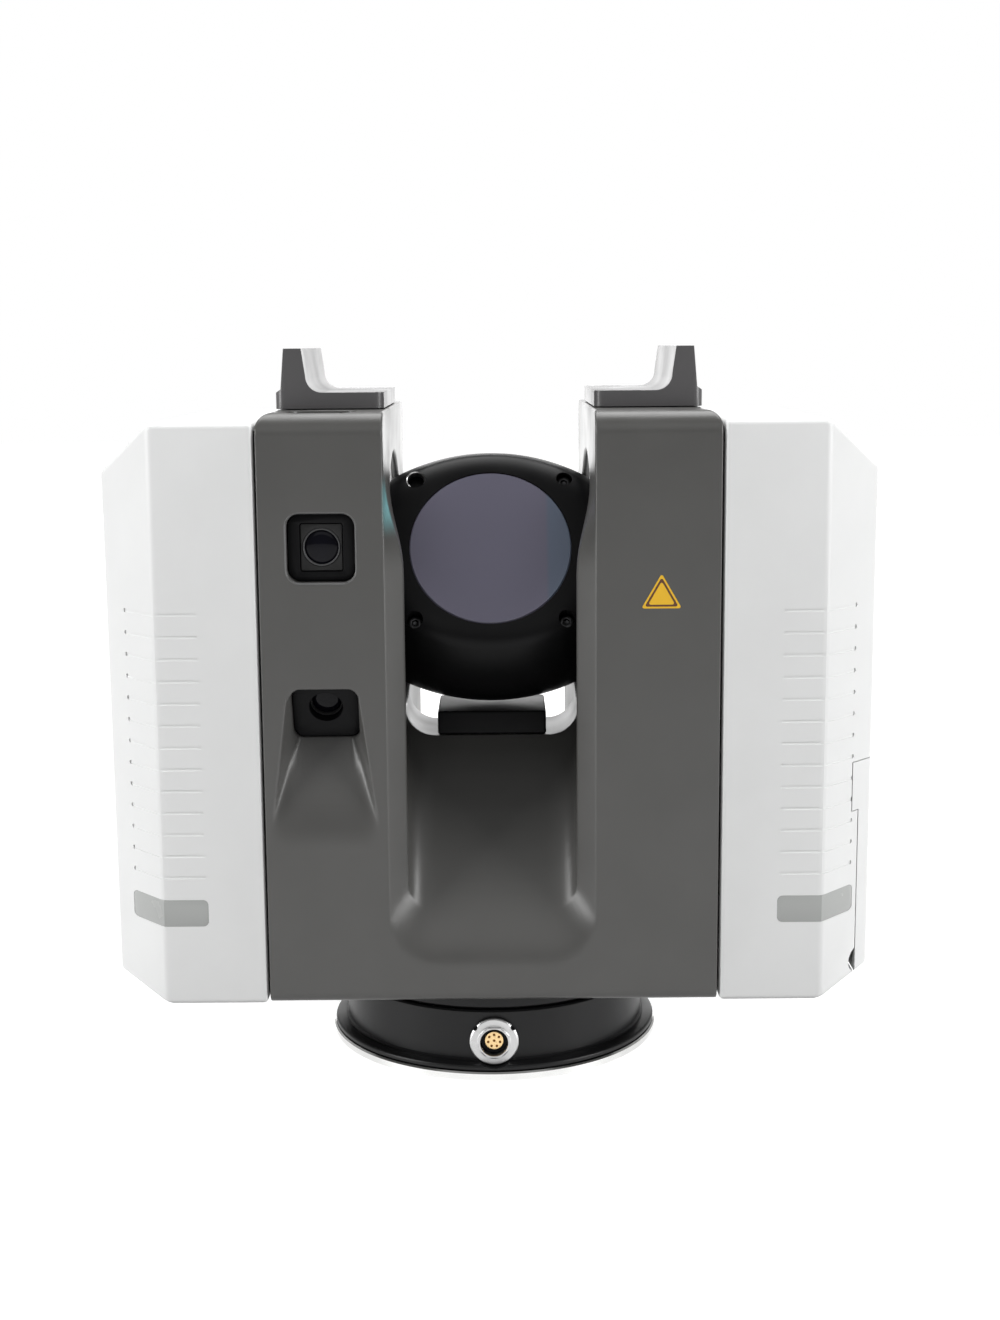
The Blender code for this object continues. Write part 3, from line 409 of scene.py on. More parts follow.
def combine(target, others, operation="DIFFERENCE"):
    """Cuts with, or joins, other objects and removes them."""
    for other in others:
        modifier = target.modifiers.new("Boolean", "BOOLEAN")
        modifier.operation = operation
        modifier.object = other
    settle(target)
    for other in others:
        bpy.data.objects.remove(other)
    return target


def round_edges(obj, width, segments=3, angle=30.0):
    modifier = obj.modifiers.new("Bevel", "BEVEL")
    modifier.width = width * MM
    modifier.segments = segments
    modifier.limit_method = "ANGLE"
    modifier.angle_limit = math.radians(angle)
    modifier.harden_normals = False
    return settle(obj)


def soften(obj, voxel, passes, kept):
    """Rebuilds a solid as an even skin whose edges are rounded like those of a painted casting."""
    remesh = obj.modifiers.new("Remesh", "REMESH")
    remesh.mode = "VOXEL"
    remesh.voxel_size = voxel * MM
    smooth = obj.modifiers.new("Smooth", "SMOOTH")
    smooth.factor = 0.5
    smooth.iterations = passes
    thin = obj.modifiers.new("Decimate", "DECIMATE")
    thin.ratio = kept
    return settle(obj)


def shade(obj, angle=SHARP):
    obj.data.shade_smooth()
    obj.data.set_sharp_from_angle(angle=angle)
    return obj


def even_normals(obj):
    """Keeps the large flat faces between rounded edges evenly shaded."""
    weighted = obj.modifiers.new("WeightedNormal", "WEIGHTED_NORMAL")
    weighted.keep_sharp = True
    return settle(obj)


def show(obj, material, body, *nodes):
    """Finishes a piece: its material, the body it rides on and the CAD nodes it stands for."""
    obj.data.materials.clear()
    obj.data.materials.append(material)
    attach(obj, body)
    if nodes:
        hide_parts(*nodes)
    return obj


# ---------------------------------------------------------------- materials

def node(tree, kind, **settings):
    """Adds a shader node and sets its inputs or properties by name."""
    made = tree.nodes.new(kind)
    for name, value in settings.items():
        label = name.replace("_", " ").title()
        if label in made.inputs:
            made.inputs[label].default_value = value
        else:
            setattr(made, name, value)
    return made


def surface(name, slot, roughness, metallic=0.0, **sockets):
    """A Principled material with constants set on the shader's own sockets."""
    material = bpy.data.materials.new(name)
    material.use_nodes = True
    material["slot"] = slot
    shader = material.node_tree.nodes["Principled BSDF"]
    shader.inputs["Roughness"].default_value = roughness
    shader.inputs["Metallic"].default_value = metallic
    for socket, value in sockets.items():
        shader.inputs[socket.replace("_", " ")].default_value = value
    return material, material.node_tree, shader


def mottle(tree, shader, colour, spread, scale, detail=3.0):
    """Slow variation of the colour around its mean."""
    place_node = node(tree, "ShaderNodeTexCoord")
    noise = node(tree, "ShaderNodeTexNoise", scale=scale, detail=detail)
    ramp = node(tree, "ShaderNodeValToRGB")
    ramp.color_ramp.elements[0].position = 0.3
    ramp.color_ramp.elements[1].position = 0.7
    ramp.color_ramp.elements[0].color = (*[c * (1.0 - spread) for c in colour], 1.0)
    ramp.color_ramp.elements[1].color = (*[min(1.0, c * (1.0 + spread)) for c in colour], 1.0)
    tree.links.new(place_node.outputs["Object"], noise.inputs["Vector"])
    tree.links.new(noise.outputs["Fac"], ramp.inputs["Fac"])
    tree.links.new(ramp.outputs["Color"], shader.inputs["Base Color"])
    return ramp


def roughen(tree, shader, low, high, scale):
    """Uneven gloss, from handling and cleaning."""
    place_node = node(tree, "ShaderNodeTexCoord")
    noise = node(tree, "ShaderNodeTexNoise", scale=scale, detail=5.0)
    spread = node(tree, "ShaderNodeMapRange")
    spread.inputs["From Min"].default_value = 0.3
    spread.inputs["From Max"].default_value = 0.7
    spread.inputs["To Min"].default_value = low
    spread.inputs["To Max"].default_value = high
    tree.links.new(place_node.outputs["Object"], noise.inputs["Vector"])
    tree.links.new(noise.outputs["Fac"], spread.inputs["Value"])
    tree.links.new(spread.outputs["Result"], shader.inputs["Roughness"])


def grain(tree, shader, scale, depth, strength=1.0):
    """Fine moulded or sprayed grain as a bump, its depth in millimetres."""
    place_node = node(tree, "ShaderNodeTexCoord")
    noise = node(tree, "ShaderNodeTexNoise", scale=scale, detail=2.0)
    bump = node(tree, "ShaderNodeBump", strength=strength, distance=depth * MM)
    tree.links.new(place_node.outputs["Object"], noise.inputs["Vector"])
    tree.links.new(noise.outputs["Fac"], bump.inputs["Height"])
    tree.links.new(bump.outputs["Normal"], shader.inputs["Normal"])
    return bump


def moulded(name, slot, colour, roughness, grain_scale=2600.0, grain_depth=0.02, spread=0.03, **sockets):
    material, tree, shader = surface(name, slot, roughness, **sockets)
    mottle(tree, shader, colour, spread, 60.0)
    roughen(tree, shader, roughness - 0.05, roughness + 0.06, 45.0)
    grain(tree, shader, grain_scale, grain_depth)
    return material


def machined(name, slot, colour, roughness, metallic=1.0, lines=1400.0, depth=0.006, axis="Z"):
    """Turned or polished metal with faint tool lines across an axis."""
    material, tree, shader = surface(name, slot, roughness, metallic)
    mottle(tree, shader, colour, 0.05, 90.0)
    roughen(tree, shader, roughness * 0.8, roughness * 1.3, 120.0)
    place_node = node(tree, "ShaderNodeTexCoord")
    stretch = node(tree, "ShaderNodeMapping")
    stretch.inputs["Scale"].default_value = [lines if letter == axis else 12.0 for letter in "XYZ"]
    noise = node(tree, "ShaderNodeTexNoise", scale=1.0, detail=3.0)
    bump = node(tree, "ShaderNodeBump", strength=0.6, distance=depth * MM)
    tree.links.new(place_node.outputs["Object"], stretch.inputs["Vector"])
    tree.links.new(stretch.outputs["Vector"], noise.inputs["Vector"])
    tree.links.new(noise.outputs["Fac"], bump.inputs["Height"])
    tree.links.new(bump.outputs["Normal"], shader.inputs["Normal"])
    return material


def coated(name, slot, colour, roughness=0.06, spread=0.04, **sockets):
    """Optical glass with a dark coating."""
    material, tree, shader = surface(name, slot, roughness, **sockets)
    mottle(tree, shader, colour, spread, 25.0, 1.0)
    roughen(tree, shader, roughness * 0.7, roughness * 1.4, 80.0)
    return material


def add_painted_reflection(material, edges, colour):
    """Paints a reflection: blends another colour into a region, which fades in along each of the given axes.
    """
    tree = material.node_tree
    shader = tree.nodes["Principled BSDF"]
    plain = shader.inputs["Base Color"].links[0].from_socket
    place_node = node(tree, "ShaderNodeTexCoord")
    split = node(tree, "ShaderNodeSeparateXYZ")
    tree.links.new(place_node.outputs["Object"], split.inputs["Vector"])
    mask = None
    for axis, start, end in edges:
        step = node(tree, "ShaderNodeMapRange", interpolation_type="SMOOTHSTEP")
        step.inputs["From Min"].default_value = start * MM
        step.inputs["From Max"].default_value = end * MM
        tree.links.new(split.outputs[axis], step.inputs["Value"])
        if mask is None:
            mask = step.outputs["Result"]
        else:
            both = node(tree, "ShaderNodeMath", operation="MULTIPLY")
            tree.links.new(mask, both.inputs[0])
            tree.links.new(step.outputs["Result"], both.inputs[1])
            mask = both.outputs[0]
    mix = node(tree, "ShaderNodeMix", data_type="RGBA")
    mix.inputs[7].default_value = (*colour, 1.0)
    tree.links.new(mask, mix.inputs["Factor"])
    tree.links.new(plain, mix.inputs[6])
    tree.links.new(mix.outputs[2], shader.inputs["Base Color"])
    return material


def make_materials():
    paint = moulded("dark_grey_paint", "dark_grey_paint", (0.071, 0.07, 0.067), 0.34, 2400.0, 0.012, 0.03)
    window = coated("purple_coating", "coated_glass", (0.19, 0.182, 0.245), 0.08)
    return {
        # the body paint carries the painted teal reflection on the left shoulder
        "paint": add_painted_reflection(paint, PAINTED_GLEAM_EDGES, PAINTED_GLEAM_COLOUR),
        "white": moulded("white_plastic", "white_plastic", (0.8, 0.805, 0.802), 0.42, 3000.0, 0.012, 0.012),
        "handle": moulded("handle_plastic", "dark_plastic", (0.075, 0.073, 0.075), 0.34, 2200.0, 0.004),
        # camera rim: body paint made lighter, a painted highlight on a real chamfer
        "rim": moulded("chamfer_painted_highlight", "dark_grey_paint", (0.13, 0.13, 0.13), 0.35, 2200.0, 0.005),
        "black": moulded("black_plastic", "black_plastic", (0.004, 0.004, 0.0045), 0.42, 2600.0, 0.01, 0.1,
                         Specular_IOR_Level=0.1),
        "rotor": moulded("rotor_black", "black_anodised", (0.006, 0.006, 0.0065), 0.36, 2600.0, 0.005, 0.1,
                         Specular_IOR_Level=0.12),
        "anodised": moulded("black_anodised", "black_anodised", (0.007, 0.007, 0.0075), 0.34, 2000.0, 0.006,
                            0.1, Specular_IOR_Level=0.25),
        "grey": moulded("grey_plastic", "grey_plastic", (0.3, 0.3, 0.3), 0.45),
        "smoked": coated("grey_window", "grey_window", (0.4, 0.41, 0.4), 0.2, 0.02),
        "polished": machined("polished_steel", "polished_steel", (0.78, 0.78, 0.77), 0.14),
        "steel": machined("machined_steel", "steel", (0.5, 0.5, 0.5), 0.3),
        "chrome": machined("satin_chrome", "chrome", (0.5, 0.5, 0.5), 0.3, axis="Y"),
        "aluminium": machined("machined_aluminium", "aluminium", (0.62, 0.62, 0.63), 0.35, axis="X"),
        "brass": machined("gold_contact", "brass", (0.80, 0.58, 0.30), 0.3, axis="Y"),
        "mirror": coated("mirror_coating", "mirror", (0.9, 0.9, 0.9), 0.03, 0.01, Metallic=1.0),
        # the window carries a painted bluish reflection of the scan mirror's edge
        "window": add_painted_reflection(window, PAINTED_MIRROR_REFLECTION_EDGES, PAINTED_MIRROR_REFLECTION_COLOUR),
        "teal": coated("teal_coating", "teal_glass", (0.08, 0.38, 0.40), 0.06),
        "lens": coated("lens_coating", "lens_glass", (0.006, 0.006, 0.010), 0.05, Specular_IOR_Level=0.12),
        "encoder": coated("encoder_glass", "encoder_glass", (0.45, 0.5, 0.5), 0.08),
        "screen": coated("screen_glass", "screen_glass", (0.012, 0.012, 0.015), 0.1),
        "board": moulded("circuit_board", "circuit_board", (0.02, 0.12, 0.05), 0.5),
        "battery": moulded("battery_case", "battery_case", (0.1, 0.1, 0.11), 0.5),
        "dark_steel": machined("black_steel", "steel", (0.05, 0.05, 0.052), 0.35),
        "lens_ring": moulded("lens_ring", "black_plastic", (0.09, 0.09, 0.092), 0.4),
        "plate": moulded("camera_plate", "black_plastic", (0.022, 0.022, 0.022), 0.5, Specular_IOR_Level=0.2),
        "label": moulded("yellow_foil", "yellow_label", (0.85, 0.5, 0.02), 0.35, 1800.0, 0.004),
        "label_border": moulded("brown_print", "yellow_label", (0.1, 0.035, 0.01), 0.4, 1800.0, 0.004),
    }


CARRIED_OVER = {
    "steel": ["azimuth_bearing", "azimuth_shaft", "rotor_bearing_inner", "rotor_bearing_outer", "rotor_shaft",
              "motor_magnet", "door_hinge_pin"],
    "black": ["slip_ring", "encoder_reader", "battery_bay", "socket_sleeve"],
    "encoder": ["azimuth_encoder_disc", "rotor_encoder_disc"],
    "aluminium": ["motor_housing", "laser_unit"],
    "teal": ["laser_window"],
    "mirror": ["scan_mirror"],
    "board": ["mainboard"],
    "battery": ["battery_1", "battery_2"],
}


def paint_carried_over(materials):
    for key, names in CARRIED_OVER.items():
        for name in names:
            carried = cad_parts[name]
            carried.data.materials.clear()
            carried.data.materials.append(materials[key])
            shade(carried)


# ---------------------------------------------------------------- body

def ramp(run, straight):
    """Share of its fall that a ramp has made; it steepens at the end to meet the front face smoothly."""
    rounding = 1.0 - math.sqrt(1.0 - run * run)
    return straight * run + (1.0 - straight) * rounding


def trough_ring(centre, depth, floor, half, fillet, upper):
    """Section of a trough at one depth: a floor with rounded corners, and walls through upper points."""
    right = list(upper)
    steps = 10
    for step in range(steps + 1):
        angle = math.radians(90.0 * step / steps)
        right.append((half - fillet * (1.0 - math.cos(angle)), floor + fillet * (1.0 - math.sin(angle))))
    return [(centre + x, depth, z) for x, z in right + [(-x, z) for x, z in reversed(right)]]


def ease(fraction):
    return 0.5 - 0.5 * math.cos(math.pi * fraction)


def share(value, start, end):
    """How far a value has come from start to end, between 0 and 1."""
    return min(1.0, max(0.0, (value - start) / (end - start)))


def sine_steps(low, high, steps):
    """Stations from low to high that crowd together towards high."""
    return [low + (high - low) * math.sin(0.5 * math.pi * step / steps) for step in range(steps + 1)]


def channel_half(depth):
    """Half the width at one depth: the walls close in, and then a chamfer opens the mouth."""
    narrowing = (CHANNEL_THROAT - CHANNEL_HALF) * share(abs(depth), SADDLE_HALF, CHAMFER_START)
    opening = (CHANNEL_MOUTH - CHANNEL_THROAT) * share(abs(depth), CHAMFER_START, BODY_HIGH.y)
    return CHANNEL_HALF + narrowing + opening


def channel_ring(depth):
    half = channel_half(depth)
    fillet = CHANNEL_FILLET + half - min(half, CHANNEL_THROAT)
    if abs(depth) < CHAMFER_START:
        fillet = CHANNEL_FILLET
    floor = CHANNEL_FLOOR - RAMP_DROP * ramp(share(abs(depth), SADDLE_HALF, BODY_HIGH.y), RAMP_STRAIGHT)
    upper = [(CHANNEL_UPPER, BODY_HIGH.z + 5.0)]
    steps = 10
    for step in range(steps + 1):
        fraction = 1.0 - step / steps
        height = SHOULDER[0] + (SHOULDER[1] - SHOULDER[0]) * fraction
        upper.append((half + (CHANNEL_UPPER - half) * ease(fraction), height))
    return trough_ring(0.0, depth, floor, half, fillet, upper)


def channel_cutter():
    stations = sine_steps(SADDLE_HALF, CHAMFER_START, 12) + sine_steps(CHAMFER_START, BODY_HIGH.y, 12)[1:]
    stations.append(BODY_HIGH.y + 1.0)
    depths = [-depth for depth in reversed(stations)] + stations
    return loft("channel_cutter", [channel_ring(depth) for depth in depths])


def scoop_cutter():
    """The flared hollow under the lower camera, a small ramp between two widening side walls."""
    front = BODY_LOW.y
    foot, top = LOWER_CAMERA
    rings = []
    for depth in sine_steps(-LOWER_CAMERA_DEEP, front, 16) + [front - 1.0]:
        run = share(-depth, LOWER_CAMERA_DEEP, -front)
        fall = ramp(run, SCOOP_STRAIGHT)
        drop = SCOOP_DROP * fall
        half = SCOOP_DEEP_HALF + (SCOOP_HALF - SCOOP_DEEP_HALF) * fall
        crest = foot + 1.5 + (top - foot - 3.5) * run
        fillet = min(SCOOP_FILLET, 0.4 * (drop + 1.5))
        upper = [(SCOOP_DEEP_HALF + (CAMERA_SIZE / 2.0 - SCOOP_DEEP_HALF + 0.5) * run, crest)]
        rings.append(trough_ring(SCOOP_X, depth, foot - drop, half, fillet, upper))
    return loft("scoop_cutter", rings)


def body_outline():
    """Side view of the body with its rounded top and foot edges."""
    low, high = BODY_LOW, BODY_HIGH
    top, foot = high.z - BODY_EDGE_R, low.z + BODY_FOOT_R
    corners = [(high.y - BODY_EDGE_R, top, 0.0, BODY_EDGE_R),
               (low.y + BODY_EDGE_R, top, 90.0, BODY_EDGE_R),
               (low.y + BODY_FOOT_R, foot, 180.0, BODY_FOOT_R),
               (high.y - BODY_FOOT_R, foot, 270.0, BODY_FOOT_R)]
    return rounded_outline(corners, 12)


def corner_cutters():
    """Rounds the upper outer corners of the body, seen from the front."""
    cutters = []
    for side in (-1, 1):
        edge = side * (BODY_HIGH.x + PAST)
        centre_x, centre_z = side * (BODY_HIGH.x - CORNER_R), BODY_HIGH.z - CORNER_R
        outline = [(edge, BODY_HIGH.z + PAST), (centre_x, BODY_HIGH.z + PAST)]
        steps = 8
        for step in range(steps + 1):
            up, across = on_circle(CORNER_R, 90.0 * step / steps)
            outline.append((centre_x + side * across, centre_z + up))
        outline.append((edge, centre_z))
        cutters.append(prism("corner_cutter", outline, "Y", BODY_LOW.y - PAST, BODY_HIGH.y + PAST))
    return cutters


def camera_opening(low_z, high_z, corner=CAMERA_CORNER):
    half = CAMERA_SIZE / 2.0
    outline = rounded_rectangle((CAMERA_X - half, low_z), (CAMERA_X + half, high_z), corner)
    return prism("camera_opening", outline, "Y", BODY_LOW.y - PAST, -CAMERA_WALL)


def upper_camera_opening():
    half = CAMERA_SIZE / 2.0
    outline = rounded_rectangle((CAMERA_X - half, UPPER_CAMERA_Y[0]), (CAMERA_X + half, UPPER_CAMERA_Y[1]),
                                CAMERA_CORNER)
    return prism("camera_opening", outline, "Z", UPPER_CAMERA_FLOOR, BODY_HIGH.z + PAST)


def wall_cutters():
    """The rotor's pocket, the two holes beside it, the hole below and the hollows of both uprights."""
    axle, foot = ROTOR_Z, BODY_LOW.z
    hollow_low, hollow_high = HOLLOW_Z
    inner, outer = HOLLOW_X
    near, top = POCKET_HALF - PAST, foot + AZIMUTH_HOLE_DEEP
    return [
        cylinder("pocket", (-POCKET_HALF, 0, axle), (POCKET_HALF, 0, axle), POCKET_R, LARGE_ROUND),
        cylinder("laser_hole", (-INNER_WALL, 0, axle), (-near, 0, axle), LASER_HOLE_R, ROUND),
        cylinder("shaft_hole", (near, 0, axle), (INNER_WALL, 0, axle), SHAFT_HOLE_R, SMALL_ROUND),
        cylinder("azimuth_hole", (0, 0, foot - PAST), (0, 0, top), AZIMUTH_HOLE_R, SMALL_ROUND),
        box("left_hollow", (-outer, -CAMERA_WALL, hollow_low), (-inner, HOLLOW_DEPTH, hollow_high)),
        box("right_hollow", (inner, -HOLLOW_DEPTH, hollow_low), (outer, HOLLOW_DEPTH, hollow_high)),
    ]


def make_body(materials):
    body = prism("body_shell", body_outline(), "X", BODY_LOW.x, BODY_HIGH.x)
    half = CAMERA_SIZE / 2.0
    openings = [camera_opening(MIDDLE_CAMERA_Z - half, MIDDLE_CAMERA_Z + half),
                camera_opening(*LOWER_CAMERA, 3.0), upper_camera_opening()]
    combine(body, corner_cutters() + [channel_cutter(), scoop_cutter()] + openings + wall_cutters())
    soften(body, SKIN_VOXEL, SKIN_PASSES, SKIN_SHARE)
    shade(body, math.radians(60.0))
    return show(body, materials["paint"], "body", "chassis")


# ---------------------------------------------------------------- rotor

def face_point(across, up, distance):
    """A point on a plane parallel to the rotor's flat face, at a distance from the rotor axis."""
    outward = Vector((0.0, -math.cos(FACE_TILT), math.sin(FACE_TILT)))
    upward = Vector((0.0, math.sin(FACE_TILT), math.cos(FACE_TILT)))
    return Vector((across, 0.0, ROTOR_Z)) + upward * up + outward * distance


def to_face(obj):
    """Lays a piece that was turned about Z onto the rotor's flat face."""
    turn = Matrix.Rotation(math.pi / 2.0 - FACE_TILT, 4, "X")
    obj.data.transform(Matrix.Translation(Vector((0.0, 0.0, ROTOR_Z)) * MM) @ turn)
    return obj


def rotor_radius(along, angle):
    """Radius of the crowned barrel with its flat face, the edge between them rounded off."""
    barrel = ROTOR_R - ROTOR_CROWN_R + math.sqrt(ROTOR_CROWN_R ** 2 - along ** 2)
    towards_face = math.sin(FACE_TILT) * math.sin(angle) - math.cos(FACE_TILT) * math.cos(angle)
    if towards_face * barrel < FACE_DISTANCE - ROTOR_EDGE:
        return barrel
    flat = FACE_DISTANCE / towards_face
    nearness = max(0.0, 1.0 - abs(flat - barrel) / ROTOR_EDGE)
    return min(flat, barrel) - 0.25 * ROTOR_EDGE * nearness ** 2


def rotor_barrel():
    steps, sides = 40, 256
    rings = []
    for step in range(steps + 1):
        along = -ROTOR_HALF + 2.0 * ROTOR_HALF * step / steps
        ring = []
        for turn in range(sides):
            angle = 2.0 * math.pi * turn / sides
            radius = rotor_radius(along, angle)
            ring.append((along, radius * math.cos(angle), ROTOR_Z + radius * math.sin(angle)))
        rings.append(ring)
    return loft("rotor_shell", rings)


def make_rotor(materials):
    shell = rotor_barrel()
    round_edges(shell, 0.9, 3, 60.0)
    corners = [(-SCREW_OFFSET, SCREW_OFFSET, BALANCE_HOLE_R), (SCREW_OFFSET, SCREW_OFFSET, SCREW_HOLE_R),
               (-SCREW_OFFSET, -SCREW_OFFSET, SCREW_HOLE_R), (SCREW_OFFSET, -SCREW_OFFSET, SCREW_HOLE_R)]
    cutters = [cylinder("hole", face_point(x, up, SCREW_HOLE_FLOOR), face_point(x, up, FACE_CUT), radius, 40)
               for x, up, radius in corners]
    axle, outside = (ROTOR_BORE_END, 0, ROTOR_Z), (-ROTOR_HALF - PAST, 0, ROTOR_Z)
    seat, front = face_point(0, 0, FACE_DISTANCE - WINDOW_SINK), face_point(0, 0, FACE_CUT)
    cutters += [cylinder("bore", outside, axle, ROTOR_BORE_R, LARGE_ROUND),
                cylinder("port", face_point(0, 0, 0), front, ROTOR_BORE_R - 0.5, LARGE_ROUND),
                cylinder("seat", seat, front, WINDOW_R, 128)]
    combine(shell, cutters)
    shade(shell)
    show(shell, materials["rotor"], "rotor", "rotor_housing")
    make_hole_rims(corners, materials)
    make_rotor_window(materials)


def make_hole_rims(corners, materials):
    """Bright machined rim in the balance hole, and recessed screw heads in the three others."""
    x, up, radius = corners[0]
    low, high = BALANCE_RIM
    profile = [(radius - 0.35, low), (radius - 0.05, low), (radius - 0.05, high), (radius - 0.35, high - 0.2)]
    rim = to_face(turned("balance_hole_rim", profile, "Z", (x, up, 0), 40))
    show(shade(rim), materials["steel"], "rotor")
    low, high = SCREW_HEAD
    for index, (x, up, radius) in enumerate(corners[1:], start=1):
        head = to_face(cylinder("head", (x, up, low), (x, up, high), SCREW_HEAD_R, SMALL_ROUND))
        key = to_face(cylinder("key", (x, up, SCREW_KEY_FLOOR), (x, up, high + PAST), SCREW_KEY_R, 6))
        combine(head, [key])
        head.name = f"rotor_screw_head_{index}"
        show(shade(round_edges(head, 0.15, 2)), materials["dark_steel"], "rotor", f"rotor_screw_{index}")


def make_rotor_window(materials):
    """The coated disc, with a ground chamfer round its edge."""
    radius, high, cut = WINDOW_R - 0.1, FACE_DISTANCE - 0.1, WINDOW_CHAMFER
    low = FACE_DISTANCE - WINDOW_SINK + PLAY
    profile = [(0.01, low), (radius, low), (radius, high - cut), (radius - cut, high), (0.01, high)]
    window = to_face(turned("rotor_window_glass", profile, "Z", (0, 0, 0), 160))
    show(shade(window), materials["window"], "rotor", "rotor_window")


# ---------------------------------------------------------------- covers

def cover_points(side, inset=0.0):
    """Corner points of a side cover, or of its hollow when inset by the wall."""
    low, high = (COVER_LOW, COVER_HIGH)
    inner = COVER_INNER - (2.0 if inset else 0.0)
    points = []
    for sign in (-1, 1):
        depth = sign * (BODY_HIGH.y - inset)
        flat = sign * (COVER_FLAT - inset * 0.42)
        corner = COVER_CORNER - inset * 0.42
        points += [(side * inner, depth, low.z + inset), (side * inner, depth, high.z - inset),
                   (side * corner, depth, low.z + inset), (side * corner, depth, high.z - inset),
                   (side * (COVER_OUTER - inset), flat, COVER_OUTER_BOTTOM + inset),
                   (side * (COVER_OUTER - inset), flat, COVER_OUTER_TOP - inset * 0.42)]
    return points


def around_corner(x, offset):
    """Plan point on a cover's corner at one X, moved outward by an offset."""
    slope = (BODY_HIGH.y - COVER_FLAT) / (COVER_OUTER - COVER_CORNER)
    lean = math.atan(slope)
    if x < COVER_CORNER:
        return (x, BODY_HIGH.y + offset)
    if x == COVER_CORNER:
        return (x + offset * math.tan(lean / 2.0), BODY_HIGH.y + offset)
    depth = BODY_HIGH.y - (x - COVER_CORNER) * slope
    return (x + offset * math.sin(lean), depth + offset * math.cos(lean))


def wrapped(name, side, front, span, middle, half_height, radius, outset, inset):
    """A plate that wraps around a cover's corner, with rounded ends."""
    steps = 8
    near = [span[0] + radius * (1.0 - math.cos(0.5 * math.pi * step / steps)) for step in range(steps + 1)]
    far = [span[1] - radius * (1.0 - math.sin(0.5 * math.pi * step / steps)) for step in range(steps + 1)]
    rings = []
    for x in near + [COVER_CORNER] + far:
        short = radius - min(radius, x - span[0], span[1] - x)
        half = half_height - radius + max(0.02, math.sqrt(radius * radius - short * short))
        low, high = middle - half, middle + half
        outer, inner = around_corner(x, outset), around_corner(x, -inset)
        ring = [(outer, low), (outer, high), (inner, high), (inner, low)]
        rings.append([(side * across, front * depth, z) for (across, depth), z in ring])
    return loft(name, rings)


def vent_cutter(side):
    """Slots that wrap around both corners of a cover, each ending in a small dot."""
    slots = []
    half = VENT_HEIGHT / 2.0
    for front in (-1, 1):
        for slot in range(VENT_COUNT):
            middle = VENT_TOP - slot * VENT_PITCH
            slots.append(wrapped("slot", side, front, VENT_X, middle, half, half, PAST, VENT_DEPTH))
            start, end = [(side * x, front * y, middle) for x, y in
                          (around_corner(VENT_X[1], PAST), around_corner(VENT_X[1], -VENT_DOT_DEEP))]
            slots.append(cylinder("dot", start, end, VENT_DOT_R, 16))
    return slots


def door_outline(gap):
    """Front view of the battery door, with a finger tab at its upper corner."""
    inner, tab = DOOR_X - gap, DOOR_TAB_X - gap
    top, bottom = DOOR_TOP + gap, DOOR_TAB_BOTTOM - gap
    return [(inner, DOOR_FOOT), (DOOR_FAR_X, DOOR_FOOT), (DOOR_FAR_X, top), (tab, top), (tab, bottom),
            (inner, bottom)]


def cover_shell(name, side):
    shell = hull(name, cover_points(side))
    round_edges(shell, COVER_EDGE_R, 5, 10.0)
    return combine(shell, [hull("hollow", cover_points(side, COVER_WALL))])


def make_corner_windows(side, materials):
    side_name = "left" if side < 0 else "right"
    middle, half = window_height()
    span = (CORNER_WINDOW_X[0] + WINDOW_GAP, CORNER_WINDOW_X[1] - WINDOW_GAP)
    for front, front_name in ((-1, "front"), (1, "rear")):
        plate = wrapped("plate", side, front, span, middle, half - WINDOW_GAP, WINDOW_CORNER_R - WINDOW_GAP,
                        -WINDOW_GAP, WINDOW_THICKNESS)
        plate.name = f"{front_name}_{side_name}_smoked_window"
        cad_node = f"{front_name}_{side_name}_window"
        show(shade(round_edges(plate, 0.1, 2)), materials["smoked"], "body", cad_node)


def window_height():
    """Middle and half of the height of the corner windows."""
    low, high = CORNER_WINDOW_Z
    return (low + high) / 2.0, (high - low) / 2.0


def window_openings(side):
    middle, half = window_height()
    return [wrapped("opening", side, front, CORNER_WINDOW_X, middle, half, WINDOW_CORNER_R, PAST,
                    WINDOW_CUT_DEEP) for front in (-1, 1)]


def make_left_cover(materials):
    shell = cover_shell("left_cover_shell", -1)
    low, high = frame_box("screen_bezel")
    outside, inside = -COVER_OUTER - PAST, -COVER_OUTER + COVER_CUT_DEEP
    opening = rounded_rectangle((low.y - PLAY, low.z - PLAY), (high.y + PLAY, high.z + PLAY),
                                SCREEN_CORNER + PLAY)
    button_low, button_high = frame_box("power_button")
    button_z = (button_low.z + button_high.z) / 2.0
    dish_floor = -COVER_OUTER + BUTTON_DISH_DEEP
    cutters = [prism("opening", opening, "X", outside, inside),
               cylinder("hole", (outside, 0, button_z), (inside, 0, button_z), BUTTON_HOLE_R, ROUND),
               cylinder("dish", (outside, 0, button_z), (dish_floor, 0, button_z), BUTTON_DISH_R, ROUND)]
    combine(shell, cutters + window_openings(-1) + vent_cutter(-1))
    show(shade(shell), materials["white"], "body", "left_cover")
    make_corner_windows(-1, materials)


def along_hinge(name, start, end, radius, sides):
    """A round bar on the axis of the battery door's hinge."""
    return cylinder(name, (HINGE_X, start, HINGE_Z), (HINGE_X, end, HINGE_Z), radius, sides)


def make_right_cover(materials):
    shell = cover_shell("right_cover_shell", 1)
    relief = along_hinge("relief", BODY_LOW.y, BODY_HIGH.y, DOOR_RELIEF_R, 48)
    combine(shell, [prism("door_cut", door_outline(PLAY), "Y", -DOOR_CUT_HALF, DOOR_CUT_HALF), relief])
    combine(shell, window_openings(1) + vent_cutter(1))
    show(shade(shell), materials["white"], "body", "right_cover")
    make_corner_windows(1, materials)


